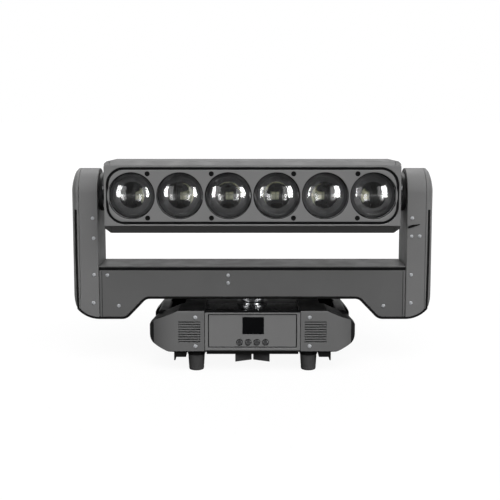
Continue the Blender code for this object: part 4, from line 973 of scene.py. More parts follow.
def grow_bead(name: str, finish: Finish, path: Places, radius: float) -> Piece:
    """A round bead laid along a path.

    Args:
        name: name of the piece.
        finish: finish of the bead.
        path: points along it.
        radius: radius of the bead.

    Returns:
        The bead.
    """
    recipe = Recipe("edge_bead", finish, {"Radius": radius})
    run = recipe.add("GeometryNodeMeshToCurve", {"Mesh": recipe.given["Geometry"]})
    section = recipe.add("GeometryNodeCurvePrimitiveCircle", {
        "Resolution": 10, "Radius": recipe.given["Radius"],
    })
    return recipe.grow(name, recipe.sweep(run, section), path, linked=True)


def turn_ring(name: str, finish: Finish, profile: Sequence[Point], plane: Plane, centre: Point) -> Piece:
    """A turned ring, such as a hollow shaft or a bearing."""
    return Shape().lathe(profile, plane, centre, closed=True, steps=ROUND).piece(name, finish)


def both_faces(front: list[Spot]) -> tuple[list[Spot], list[Spot]]:
    """Places on a front face and the same on the rear one, and the way that each looks."""
    spots = front + [(x, -y, z) for x, y, z in front]
    return spots, [(0, math.copysign(1, y), 0) for _, y, _ in spots]


@dataclass
class Base:
    """The base: two moulded ends, a deck, a tray, rubber feet and the lock for a hanging bracket."""

    half_width: float = 158.0
    half_depth: float = 90.0
    corner: float = 43.0
    low: float = 31.0
    top: float = 94.5
    seam: float = 72.15
    rim: float = 2.0
    recess: float = 3.3
    under_reach: float = 125.4
    under_z: float = 34.0
    row_height: float = 4.0
    side_rows: int = 6
    black_tilt: float = 0.3
    outer: tuple[Spot, ...] = (
        (126, 31, 0), (158, 44, 14), (158, 66, 8), (147, 78, 8), (110, 94.5, 8), (72.15, 94.5, 0),
    )
    bay: float = 104.0
    bay_half: Point = (100.0, 38.0)
    bay_round: float = 7.0
    bay_top: float = 140.0
    louvres: int = 9
    louvre_pitch: float = 3.75
    louvre_size: Spot = (33.0, 9.0, 1.8)
    louvre_spot: Point = (94.5, 47.0)
    grip: Point = (137.5, 72.5)
    grip_half: Spot = (8.5, 11.5, 38.4)
    grip_round: float = 5.0
    deck_half: Point = (69.6, 87.7)
    deck_low: float = 91.5
    deck_top: float = 92.0
    deck_split: float = -26.0
    deck_hole: float = 24.2
    deck_rim: Point = (71.85, 90.0)
    deck_well: Point = (69.4, 87.5)
    deck_round: float = 1.5
    feet: Point = (85.0, 70.0)
    tread: Profile = (
        (0, 0), (9.6, 0), (10.8, 0.5), (11.3, 1.8), (11.5, 5), (11.2, 6), (11.6, 7), (12.3, 18), (12.6, 24),
    )
    collar: Profile = ((12.6, 24), (13.4, 24.4), (13.6, 25), (13.6, 30.6), (13.2, 31), (0, 31))
    lip_half: Point = (69.0, 2.0)
    lip_y: float = 84.0
    lip_low: float = 27.0
    lip_top: float = 31.5
    screw_x: float = 85.5
    screw_z: Point = (40.2, 84.0)

    def section(self, limit: float, back: float) -> Outline:
        """Outline of a base end at one height, seen from above.

        Args:
            limit: furthest X at that height.
            back: how far the front and rear faces are drawn in.

        Returns:
            The outline for the right-hand end, counter-clockwise.
        """
        radius = self.corner - back
        centre = (self.half_width - self.corner, self.corner - self.half_depth)
        turn = math.degrees(math.acos(min(max((limit - centre[0]) / radius, 0.0), 1.0)))
        bend = [(min(x, limit), y) for x, y in arc(centre, radius, -90, -turn, steps=16)]
        edge_x, edge_y = bend[-1]
        side = [(edge_x, edge_y * (1 - 2 * row / self.side_rows)) for row in range(1, self.side_rows)]
        back_y = centre[1] - radius
        mirrored = [(x, -y) for x, y in reversed(bend)]
        return [(self.seam, back_y), *bend, *side, *mirrored, (self.seam, -back_y)]

    def rim_back(self, height: float) -> float:
        """How far the upright faces are drawn in near the top and bottom rims."""
        near = max(height - (self.top - self.rim), self.low + self.rim - height, 0.0)
        return self.rim - math.sqrt(max(self.rim ** 2 - near ** 2, 0.0))

    def end_cover(self, side: Side) -> None:
        """A moulded end with a sloped shoulder, louvres and a grip across a recess.

        Args:
            side: end of the light.
        """
        levels = []
        chain = filleted(self.outer, closed=False)[:-1]
        for (x, z), (after_x, after_z) in zip(chain, chain[1:]):
            count = max(1, round(math.hypot(after_x - x, after_z - z) / self.row_height))
            levels += [(x + (after_x - x) * n / count, z + (after_z - z) * n / count) for n in range(count)]
        under = self.section(self.under_reach, self.recess)
        drawn = [(under, self.under_z), (under, self.low)]
        drawn += [(self.section(x, self.rim_back(z)), z) for x, z in [*levels, chain[-1]]]
        shape = Shape().loft([
            (outline, [Vector((side.value * x, y, z)) for x, y in outline]) for outline, z in drawn
        ])
        bmesh.ops.recalc_face_normals(shape.mesh, faces=shape.mesh.faces)
        # Painted shade: sloped and level faces are black, for the shade under the crossbar and under the
        # base; upright ones are charcoal as far as the painted shade on the ends.
        for face in shape.mesh.faces:
            face.material_index = int(abs(face.normal.z) > self.black_tilt)
        cover = shape.piece(f"base_end_{side.word}", BASE_ABS, NYLON)
        reach = side.value * (self.bay + self.bay_half[0])
        opening = rounded_box(*self.bay_half, self.bay_round, (reach, 0))
        bay = Shape().plate(opening, Plane.TOP, 0, self.bay_top, edge=0.1).piece("bay", NYLON)
        first = (side.value * self.louvre_spot[0], -self.half_depth, self.louvre_spot[1])
        slots = grow_slats("louvre_slots", BASE_ABS, first, self.louvre_pitch, self.louvres, self.louvre_size)
        carve(cover, bay, slots)
        fit(shade(cover), "base", "charcoal_plastic", f"base_cover_{side.word}")
        wide, tall, deep = self.grip_half
        outline = rounded_box(wide, tall, self.grip_round, (side.value * self.grip[0], self.grip[1]))
        bar = Shape().plate(outline, Plane.FRONT, -deep, deep, edge=0.2)
        fit(bar.piece(f"carrying_grip_{side.word}", NYLON), "base", "black_plastic")

    def deck(self) -> None:
        """The deck, a little below its rim: polished in front of the pan shaft and matt round it, all black,
        partly as painted shade under the crossbar.
        """
        wide, deep = self.deck_half
        plate = Shape()
        hole = circle((0, 0), self.deck_hole)
        for start, end, holes in ((-deep, self.deck_split, []), (self.deck_split, deep, [hole])):
            outline = rounded_box(wide, (end - start) / 2, self.deck_round, (0, (start + end) / 2))
            plate.plate(outline, Plane.TOP, self.deck_low, self.deck_top, holes, edge=0.2)
            plate.coat = 1
        rim, well = (rounded_box(*half, self.deck_round) for half in (self.deck_rim, self.deck_well))
        plate.plate(rim, Plane.TOP, self.deck_low, self.top, [well], edge=1.0)
        fit(plate.piece("base_deck_plate", DECK_ACRYLIC, NYLON), "base", "black_plastic", "base_deck")

    def foot(self, name: str, spot: Point) -> None:
        """A tapered rubber foot with a rounded tread and a black collar.

        Args:
            name: node that it stands for.
            spot: X and Y of its middle.
        """
        shape = Shape().lathe(self.tread, Plane.TOP, spot, steps=48)
        shape.coat = 1
        shape.lathe(self.collar, Plane.TOP, spot, steps=48)
        fit(shape.piece(name + "_rubber", FOOT_RUBBER, RUBBER), "base", "black_rubber", name)

    def build(self) -> None:
        """Make the whole base."""
        for side in Side:
            self.end_cover(side)
            for end, sign in (("front", -1), ("rear", 1)):
                self.foot(f"foot_{end}_{side.word}", (side.value * self.feet[0], sign * self.feet[1]))
        self.deck()
        tray = soften("base_tray", "base_floor", TRAY_COAT, radius=0.5)
        fit(tray, "base", "black_metal", "base_tray")
        catch = soften("bracket_lock", "bracket_catch", LENS_EDGE, radius=1.2)
        fit(catch, "base", "black_metal", "bracket_lock")
        lips = Shape()
        for y in both_signs(self.lip_y):
            lip = rounded_box(*self.lip_half, radius=0.8, centre=(0, y))
            lips.plate(lip, Plane.TOP, self.lip_low, self.lip_top, edge=0.4)
        fit(lips.piece("tray_lips", TRAY_COAT), "base", "black_metal")
        front = [(side.value * self.screw_x, -self.half_depth, z) for side in Side for z in self.screw_z]
        fit(grow_screws("base_end_screws", ZINC, *both_faces(front), radius=3.0), "base", "polished_steel")


@dataclass
class MenuPanel:
    """The front panel with its sunk field, display and four buttons."""

    half_width: float = 71.4
    low: float = 33.6
    high: float = 91.2
    front: float = -90.0
    back: float = -86.0
    field_half: float = 66.5
    field_low: float = 37.6
    field_high: float = 89.0
    sunk: Point = (-88.5, -86.2)
    groove: float = 1.3
    lining_half: float = 67.5
    lining_over: float = 0.6
    lining: Point = (-86.8, -86.1)
    display: Point = (16.1, 13.2)
    display_spot: Point = (1.0, 71.0)
    glass_gap: float = 0.3
    glass: Point = (-88.2, -80.0)
    board_half: Point = (63.85, 24.65)
    board_z: float = 58.55
    board: Point = (-80.0, -78.4)
    button_x: tuple[float, ...] = (-19.5, -6.5, 6.5, 19.5)
    button_z: float = 45.8
    button_hole: float = 5.0
    cap: Profile = (
        (0, -89.9), (2.4, -90.05), (3.3, -90.3), (3.75, -90.1), (4.0, -89.5), (4.0, -86), (5.5, -86),
        (5.5, -84.8), (5.2, -84.5), (0, -84.5),
    )

    def panel(self) -> None:
        """The folded panel, its sunk field and a black sheet behind the groove round it, painted shade of the
        groove.
        """
        middle = (0.0, (self.low + self.high) / 2)
        sheet = rounded_box(self.half_width, (self.high - self.low) / 2, radius=1.2, centre=middle)
        centre = (0.0, (self.field_low + self.field_high) / 2)
        tall = (self.field_high - self.field_low) / 2
        opening = rounded_box(self.field_half, tall, radius=1.5, centre=centre)
        shape = Shape().plate(sheet, Plane.FRONT, self.front, self.back, [opening], edge=0.5)
        holes = [rounded_box(*self.display, radius=0.8, centre=self.display_spot)]
        holes += [circle((x, self.button_z), self.button_hole, steps=40) for x in self.button_x]
        inner = rounded_box(self.field_half - self.groove, tall - self.groove, radius=1.2, centre=centre)
        shape.plate(inner, Plane.FRONT, *self.sunk, holes, edge=0.3)
        # Painted shade: a black sheet shows through the groove round the field.
        shape.coat = 1
        lining = rounded_box(self.lining_half, tall + self.lining_over, radius=1.5, centre=centre)
        shape.plate(lining, Plane.FRONT, *self.lining, holes, edge=0.1)
        fit(shape.piece("menu_panel", PAINTED_LIGHT_COAT, NYLON), "base", "charcoal_metal", "base_front_panel")

    def screen(self) -> None:
        """The display behind its cover glass, on its board."""
        board = rounded_box(*self.board_half, radius=1.5, centre=(0, self.board_z))
        shape = Shape().plate(board, Plane.FRONT, *self.board, edge=0.2)
        shape.coat = 1
        wide, tall = (half - self.glass_gap for half in self.display)
        glass = rounded_box(wide, tall, radius=0.6, centre=self.display_spot)
        shape.plate(glass, Plane.FRONT, *self.glass, edge=0.3)
        fit(shape.piece("display_module", BOARD, SCREEN_GLASS), "base", "display_screen", "display_board")

    def build(self) -> None:
        """Make the whole panel, with a dished cap on each button."""
        self.panel()
        self.screen()
        for index, x in enumerate(self.button_x, 1):
            cap = Shape().lathe(self.cap, Plane.FRONT, (x, self.button_z), steps=40)
            name = f"menu_button_{index}"
            fit(cap.piece(name + "_cap", KEYCAP), name, "black_plastic", name)


@dataclass
class RearSockets:
    """The power inlet and the data sockets at the back of the base."""

    power: Point = (-40.0, 60.0)
    inlet: Profile = (
        (0, 70), (11.7, 70), (11.7, 88), (13.6, 88), (14, 88.4), (14, 89.7), (13.4, 90.3), (11.2, 90.3),
        (10.8, 89.9), (10.8, 82), (7, 82), (7, 89.1), (6.4, 89.7), (0, 89.7),
    )
    blade_ring: float = 8.9
    blade_half: Point = (1.2, 1.0)
    blade: Point = (81.0, 88.5)
    contact_turns: tuple[float, ...] = (90, 210, 330)
    data: Point = (32.0, 60.0)
    data_pitch: float = 28.0
    data_half: Point = (30.0, 15.0)
    data_hole: float = 9.5
    plate_back: float = 88.0
    face: float = 90.3
    shell: Profile = ((0, 70), (10.5, 70), (10.5, 88.2), (9.6, 88.2), (9.6, 74), (0, 74))
    core: Profile = ((0, 73.5), (7.2, 73.5), (7.2, 86.5), (6.6, 87), (0, 87))
    pin: Profile = ((0, 86), (1.1, 86), (1.1, 87.4), (0.8, 87.7), (0, 87.7))
    pin_ring: float = 4.2
    screw_x: float = 26.5
    screw_z: float = 11.5

    def contacts(self, centre: Point, radius: float) -> Outline:
        """Places of the three contacts round the middle of a socket."""
        return [arc(centre, radius, turn, turn, 1)[0] for turn in self.contact_turns]

    def power_inlet(self) -> None:
        """A round locking inlet."""
        shape = Shape().lathe(self.inlet, Plane.FRONT, self.power)
        fit(shape.piece("locking_power_inlet", NYLON), "base", "black_plastic", "power_inlet")
        blades = Shape()
        for spot in self.contacts(self.power, self.blade_ring):
            blade = rounded_box(*self.blade_half, radius=0.4, centre=spot, steps=3)
            blades.plate(blade, Plane.FRONT, *self.blade, edge=0.3)
        fit(blades.piece("power_contacts", ZINC), "base", "polished_steel")

    def data_sockets(self) -> None:
        """Two round sockets in one plate, with three contacts each."""
        x, z = self.data
        middles = [(x + side.value * self.data_pitch / 2, z) for side in Side]
        holes = [circle(middle, self.data_hole) for middle in middles]
        plate = rounded_box(*self.data_half, radius=2.0, centre=self.data)
        shape = Shape().plate(plate, Plane.FRONT, self.plate_back, self.face, holes, edge=0.5)
        pins = Shape()
        for middle in middles:
            for profile in (self.shell, self.core):
                shape.lathe(profile, Plane.FRONT, middle)
            for spot in self.contacts(middle, self.pin_ring):
                pins.lathe(self.pin, Plane.FRONT, spot, steps=16)
        fit(shape.piece("data_socket_plate", NYLON), "base", "black_plastic", "data_sockets")
        fit(pins.piece("data_contacts", ZINC), "base", "polished_steel")
        spots = [
            (x + u, self.face, z + v) for u in both_signs(self.screw_x) for v in both_signs(self.screw_z)
        ]
        screws = grow_screws("socket_screws", BLACK_OXIDE, spots, (0, 1, 0), radius=1.9, height=0.9, key=0.9)
        fit(screws, "base", "black_metal")

    def build(self) -> None:
        """Make both groups of sockets."""
        self.power_inlet()
        self.data_sockets()


@dataclass
class PanDrive:
    """The turned shaft and bearing between base and yoke; the drive inside keeps its solids."""

    shaft: Profile = (
        (8, 61.5), (12.6, 61.5), (13, 62), (13, 93), (18.5, 93), (18.5, 96.4), (23.4, 96.4), (24, 97),
        (24, 98.6), (23.4, 99.2), (21, 99.2), (21, 101.5), (8, 101.5),
    )
    race: Profile = (
        (13.4, 86.2), (30, 86.2), (30, 91.2), (23.5, 91.2), (23.5, 91.7), (23.1, 92), (14.2, 92),
        (13.4, 91.4),
    )

    def build(self) -> None:
        """Turn the shaft and the bearing and finish the hidden drive."""
        axle = turn_ring("pan_axle", TURNED_STEEL, self.shaft, Plane.TOP, (0, 0))
        fit(axle, "yoke", "polished_steel", "pan_shaft")
        race = turn_ring("pan_race", BLACK_ANODISED, self.race, Plane.TOP, (0, 0))
        fit(race, "base", "black_metal", "pan_bearing")
        dress(EXTRUDED, "pan_pulley", "pan_motor_pulley", "tilt_pulley", "tilt_motor_pulley", "power_supply")
        dress(BLACK_ANODISED, "pan_motor", "tilt_motor")
        dress(BELT, "pan_belt", "tilt_belt")


@dataclass
class Yoke:
    """The crossbar with its lid, and the two arms with their crowned covers."""

    half_depth: float = 37.0
    arm_inner: float = 237.2
    arm_seam: float = 266.0
    arm_gap: float = 0.3
    shell_start: float = 240.0
    shell_step: float = 3.0
    shell_rows: int = 9
    soft: tuple[Point, ...] = ((0.0, 1.2), (0.2, 0.6), (0.6, 0.2), (1.2, 0.0))
    cover_edge: float = 271.8
    crown: float = 9.6
    crown_rows: tuple[float, ...] = (4.5, 6.5, 9, 12, 15, 18, 22, 26, 30, 33)
    tilt_z: float = TILT_Z
    low: float = 70.0
    foot_start: float = 237.4
    foot_round: float = 44.0
    rim: float = 3.0
    bar_half: float = 36.5
    bar_end: float = 236.9
    bar_low: float = 101.8
    bar_top: float = 146.5
    lobe_x: Point = (165.4, 195.9)
    lobe_round: float = 15.0
    fold_spot: Point = (232.6, 109.0)
    fold_half: Spot = (0.4, 36.0, 36.6)
    lid_low: float = 150.5
    lid_top: float = 152.5
    groove_half: Point = (236.4, 36.2)
    groove: Point = (146.0, 150.8)
    bead: float = 2.2
    bead_sunk: float = 1.4
    bead_x: float = 270.8
    bead_y: float = 35.6
    bead_z: Point = (240.0, 170.0)
    bead_limit: float = 102.8
    lever_depth: Point = (-38.0, -36.7)
    lever: tuple[Point, ...] = (
        (239, 211.4), (246, 213.2), (257, 217), (257, 218), (246, 217), (239, 214.8),
    )
    arm_screws: tuple[Point, ...] = (
        (-245, 227), (-244, 196), (-244.5, 139), (-246, 95),
        (245.0, 227), (244.5, 199), (257.0, 199), (245, 139), (245.5, 95),
    )
    bar_screws: tuple[Point, ...] = ((-224, 138.5), (-207, 90.5), (-37.5, 138), (-37.5, 126), (203, 90.5))

    def outline(self, x: float, back: float = 0.0) -> Outline:
        """Outline of an arm at a distance from the middle, seen from its side.

        Args:
            x: distance from the middle.
            back: how far the outline is drawn in.

        Returns:
            The outline, counter-clockwise from its front foot.
        """
        away = max(x - self.foot_start, 0.0)
        rise = self.foot_round - math.sqrt(max(self.foot_round ** 2 - away ** 2, 0.0))
        half = self.half_depth - back
        low = self.low + max(rise, back)
        axis = self.tilt_z
        feet = [(-half, axis, 0), (-half, low, self.rim), (half, low, self.rim), (half, axis, 0)]
        return [*filleted(feet, steps=6)[1:-1], *arc((0, axis), half, 0, 180, steps=40)]

    def form(self, side: Side, levels: Sequence[Point], name: str) -> Piece:
        """A closed form through a row of arm outlines.

        Args:
            side: end of the light.
            levels: distance from the middle and inset of each outline.
            name: name of the piece.

        Returns:
            The piece.
        """
        drawn = [(self.outline(x, back), x) for x, back in levels]
        shape = Shape().loft([
            (outline, [Vector((side.value * x, u, v)) for u, v in outline]) for outline, x in drawn
        ])
        # Painted light: the arms take the lighter copy of the charcoal powder.
        return shape.piece(name, PAINTED_LIGHT_COAT)

    def arm(self, side: Side) -> None:
        """An arm's folded shell and its crowned outer cover.

        Args:
            side: end of the light.
        """
        seam, edge, rim, word = self.arm_seam, self.cover_edge, self.rim, side.word
        shell = [(self.arm_inner + x, back) for x, back in self.soft]
        shell += [(self.shell_start + self.shell_step * row, 0.0) for row in range(self.shell_rows)]
        shell += [(seam - x / 2, back / 2) for x, back in reversed(self.soft)]
        fit(self.form(side, shell, f"arm_{word}"), "yoke", "charcoal_metal", f"arm_shell_{word}")
        cover = [(seam + self.arm_gap + x / 2, back / 2) for x, back in self.soft]
        cover += [(edge - rim + x, rim + back) for back, x in arc((0, 0), rim, 180, 110, steps=5)]
        cover += [(edge + self.crown * (1 - (1 - d / self.half_depth) ** 2), d) for d in self.crown_rows]
        fit(self.form(side, cover, f"arm_lid_{word}"), "yoke", "charcoal_metal", f"arm_cover_{word}")

    def edging(self, bar: Outline) -> None:
        """A bead in the black rubber finish round the foot of both arms and along the lower edge of the
        crossbar, painted shade of those rounded lower edges.

        Args:
            bar: the crossbar's outline, from its left end to its right end below.
        """
        turn = math.degrees(math.asin((self.bead_x - self.foot_start) / self.foot_round))
        centre = (self.foot_start, self.low + self.foot_round)
        foot = arc(centre, self.foot_round - self.bead_sunk, turn - 90, -90, steps=14)
        right = [*((self.bead_x, z) for z in self.bead_z), *foot]
        below = [(x, z + self.bead_sunk) for x, z in bar if z < self.bead_limit]
        path = [(-x, z) for x, z in right] + below + right[::-1]
        for word, y in (("front", -self.bead_y), ("rear", self.bead_y)):
            bead = [(x, y, z) for x, z in path]
            fit(grow_bead(f"yoke_edging_{word}", RUBBER, bead, self.bead), "yoke", "black_rubber")

    def crossbar(self) -> None:
        """The folded crossbar with a lobe under each end, and its lid over a black strip that is painted
        shade of the groove under the lid.
        """
        inner, outer = self.lobe_x
        half = [
            (self.bar_end, self.bar_top, 0.0), (self.bar_end, self.low, 0.0),
            (outer, self.low, self.lobe_round), (inner, self.bar_low, self.lobe_round),
        ]
        outline = filleted([*((-x, z, radius) for x, z, radius in half), *reversed(half)], steps=14)
        bar = Shape().plate(outline, Plane.FRONT, -self.bar_half, self.bar_half, edge=2.0, steps=4)
        bar.coat = 1
        wide, tall, deep = self.fold_half
        for side in Side:
            centre = (side.value * self.fold_spot[0], self.fold_spot[1])
            fold = rounded_box(wide, tall, radius=0.2, centre=centre, steps=3)
            bar.plate(fold, Plane.FRONT, -deep, deep, edge=0.05)
        fit(bar.piece("crossbar", STEEL_COAT, NYLON), "yoke", "charcoal_metal", "crossbar_shell")
        sheet = rounded_box(self.bar_end, self.bar_half, radius=1.2)
        lid = Shape().plate(sheet, Plane.TOP, self.lid_low, self.lid_top, edge=0.7)
        # Painted shade: a black strip under the lid stands for the groove's shade.
        lid.coat = 1
        lid.plate(rounded_box(*self.groove_half, radius=1.0), Plane.TOP, *self.groove, edge=0.1)
        fit(lid.piece("crossbar_top", STEEL_COAT, NYLON), "yoke", "charcoal_metal", "crossbar_lid")
        self.edging(outline)

    def build(self) -> None:
        """Make the whole yoke with its lock lever and screws."""
        self.crossbar()
        lever = Shape().plate(list(self.lever), Plane.FRONT, *self.lever_depth, edge=0.2)
        fit(lever.piece("tilt_lock_lever", BLACK_OXIDE), "yoke", "black_metal")
        for side in Side:
            self.arm(side)
        front = [(x, -self.half_depth, z) for x, z in self.arm_screws]
        front += [(x, -self.bar_half, z) for x, z in self.bar_screws]
        fit(grow_screws("yoke_screws", ZINC, *both_faces(front), radius=2.8), "yoke", "polished_steel")


@dataclass
class TiltAxles:
    """The flanged shafts and bearings that hold the head between the arms."""

    tilt_z: float = TILT_Z
    shaft: Profile = (
        (7, 220.8), (27.4, 220.8), (28, 221.4), (28, 225.2), (27.4, 225.8), (14, 225.8), (13, 226.8),
        (13, 260), (12.5, 260.5), (7, 260.5),
    )
    race: Profile = (
        (13.4, 230.9), (29.2, 230.9), (30, 231.7), (30, 236.2), (29.4, 236.9), (21, 236.9), (21, 248.6),
        (20.4, 249.2), (13.4, 249.2),
    )
    screw_face: float = 230.9
    screw_ring: float = 25.0
    screw_start: float = 164.0
    screws: int = 5

    def build(self) -> None:
        """Turn the shafts and bearings and set their screws."""
        axis = (0.0, self.tilt_z)
        ring = arc(axis, self.screw_ring, self.screw_start, self.screw_start + 360, self.screws)[:-1]
        for side in Side:
            sign, word = side.value, side.word
            shaft, race = ([(r, sign * x) for r, x in profile] for profile in (self.shaft, self.race))
            axle = turn_ring(f"tilt_axle_{word}", TURNED_STEEL, shaft, Plane.SIDE, axis)
            fit(axle, "head", "polished_steel", f"tilt_shaft_{word}")
            bearing = turn_ring(f"tilt_race_{word}", BLACK_ANODISED, race, Plane.SIDE, axis)
            fit(bearing, "yoke", "black_metal", f"tilt_bearing_{word}")
            spots = [(sign * self.screw_face, *spot) for spot in ring]
            name = f"tilt_race_screws_{word}"
            screws = grow_screws(name, ZINC, spots, (-sign, 0, 0), radius=3.2, height=2.2)
            fit(screws, "yoke", "polished_steel")


@dataclass
class Head:
    """The lamp head: front frame, bent covers, end caps, rear panel and the raised lens panel."""

    half_width: float = 220.5
    tilt_z: float = TILT_Z
    corners: tuple[Point, ...] = (
        (-78, 220), (-66, 208), (56, 208), (80, 229), (80, 301), (56, 313.4), (-66, 316), (-78, 310),
    )
    wall: float = 3.0
    cover_half: float = 212.35
    cover_rear: float = 36.3
    cover_front: float = 45.3
    cover_bends: Point = (4.0, 1.5)
    frame_half: float = 45.0
    frame_hole: Spot = (217.5, 42.5, 27.0)
    frame_depth: Point = (-78.0, -74.0)
    back_half: float = 36.0
    back_depth: Point = (77.0, 80.0)
    back_screws: Point = (52.0, 208.0)
    back_screw_z: float = 29.0
    vent_x: float = 100.0
    vent_half: float = 31.0
    vent_count: int = 9
    vent_pitch: float = 7.0
    slat: Spot = (62.4, 2.6, 3.5)
    slat_y: float = 78.5
    lens_x: tuple[float, ...] = LENS_X
    aperture: float = 34.8
    raised: Spot = (213.8, 38.8, 23.3)
    raised_depth: Point = (-77.5, -72.0)
    tube: Profile = (
        (34.1, -75.8), (34.1, -68.1), (34.4, -67.7), (35.2, -67.7), (35.6, -68.1), (35.6, -73),
        (34.9, -73), (34.9, -75.8),
    )
    gasket: Profile = ((33.8, -76.6), (33.8, -75.7), (35.1, -75.7), (35.1, -76.6), (34.5, -76.9))
    seals: tuple[tuple[Spot, Spot, Point], ...] = (
        ((219.0, 44.0, 28.0), (214.0, 39.0, 23.5), (-73.7, -71.7)),
        ((217.3, 42.3, 26.8), (213.2, 38.2, 22.7), (-76.4, -73.6)),
    )
    panel_screws: Point = (61.0, 156.0)
    panel_screw_z: float = 33.0

    def box(self, size: Spot) -> Outline:
        """Rounded rectangle about the tilt axis, of half a width, half a height and a radius."""
        return rounded_box(*size, centre=(0, self.tilt_z), steps=20)

    def screw_spots(self, across: Point, y: float, up: float) -> list[Spot]:
        """Places of eight screws, in two rows about the tilt axis."""
        near, far = across
        return [(x, y, self.tilt_z + z) for x in (-far, -near, near, far) for z in both_signs(up)]

    def front_frame(self) -> None:
        """The frame round the lens panel."""
        outline = rounded_box(self.half_width, self.frame_half, radius=1.5, centre=(0, self.tilt_z))
        bezel = Shape().plate(outline, Plane.FRONT, *self.frame_depth, [self.box(self.frame_hole)], edge=0.7)
        fit(bezel.piece("head_bezel", PANEL_COAT), "head", "charcoal_metal", "head_front_frame")

    def cover(self, name: str, order: tuple[int, ...], up: int) -> None:
        """A bent sheet cover.

        Args:
            name: node that it stands for.
            order: corners of the head's outline from the rear to the front.
            up: 1 for the top cover, -1 for the bottom one.
        """
        outer = list(self.corners)
        rear_z, front_z = self.tilt_z + up * self.cover_rear, self.tilt_z + up * self.cover_front
        edges = []
        for ring, bend in zip((outer, inset(outer, self.wall)), self.cover_bends):
            rear, high, low, front = (ring[index] for index in order)
            run = [(*at_height(rear, high, rear_z), 0.0), (*high, bend), (*low, bend)]
            edges.append(run + [(*at_height(low, front, front_z), 0.0)])
        outline = filleted(edges[0] + edges[1][::-1], steps=5)
        if up < 0:
            outline = outline[::-1]
        sheet = Shape().plate(outline, Plane.SIDE, -self.cover_half, self.cover_half, edge=0.3, steps=2)
        fit(sheet.piece(name + "_sheet", STEEL_COAT), "head", "charcoal_metal", name)

    def rear_panel(self) -> None:
        """The rear panel with two slatted vents."""
        tall = (self.vent_count - 1) * self.vent_pitch / 2
        vents = [(side.value * self.vent_x, self.tilt_z) for side in Side]
        holes = [rounded_box(self.vent_half, tall, radius=1.5, centre=vent) for vent in vents]
        outline = rounded_box(self.half_width, self.back_half, radius=1.5, centre=(0, self.tilt_z))
        panel = Shape().plate(outline, Plane.FRONT, *self.back_depth, holes, edge=0.6)
        fit(panel.piece("head_back", STEEL_COAT), "head", "charcoal_metal", "head_rear_panel")
        for side, (x, z) in zip(Side, vents):
            first, name = (x, self.slat_y, z - tall + self.vent_pitch), f"vent_slats_{side.word}"
            bars = grow_slats(name, STEEL_COAT, first, self.vent_pitch, self.vent_count - 2, self.slat)
            fit(bars, "head", "charcoal_metal")
        spots = self.screw_spots(self.back_screws, self.back_depth[1], self.back_screw_z)
        fit(grow_screws("head_back_screws", BLACK_OXIDE, spots, (0, 1, 0), radius=2.6), "head", "black_metal")

    def lens_panel(self) -> None:
        """The raised panel with six lens tubes, its seals and its black countersunk screws."""
        spots = [(x, self.tilt_z) for x in self.lens_x]
        holes = [circle(spot, self.aperture, ROUND) for spot in spots]
        shape = Shape().plate(self.box(self.raised), Plane.FRONT, *self.raised_depth, holes, edge=0.9)
        # A black ring at the edge of each lens hole.
        for profile in (self.tube, self.gasket):
            for spot in spots:
                shape.lathe(profile, Plane.FRONT, spot, closed=True, steps=ROUND)
            shape.coat = 1
        for outer, hole, depth in self.seals:
            shape.plate(self.box(outer), Plane.FRONT, *depth, [self.box(hole)], edge=0.2)
        fit(shape.piece("lens_plate", PANEL_COAT, NYLON), "head", "charcoal_metal", "lens_panel")
        spots = self.screw_spots(self.panel_screws, self.raised_depth[0], self.panel_screw_z)
        screws = grow_screws(
            "lens_plate_screws", BLACK_OXIDE, spots, (0, -1, 0), radius=3.8, height=0.4, key=1.8,
        )
        fit(screws, "head", "black_metal")

    def build(self) -> None:
        """Make the whole head shell."""
        self.front_frame()
        self.cover("head_top_cover", (4, 5, 6, 7), 1)
        self.cover("head_bottom_cover", (3, 2, 1, 0), -1)
        self.rear_panel()
        self.lens_panel()
        for side in Side:
            node = f"head_end_{side.word}"
            cap = soften(node, f"head_cap_{side.word}", HOUSING_ABS, radius=0.9)
            fit(cap, "head", "charcoal_plastic", node)


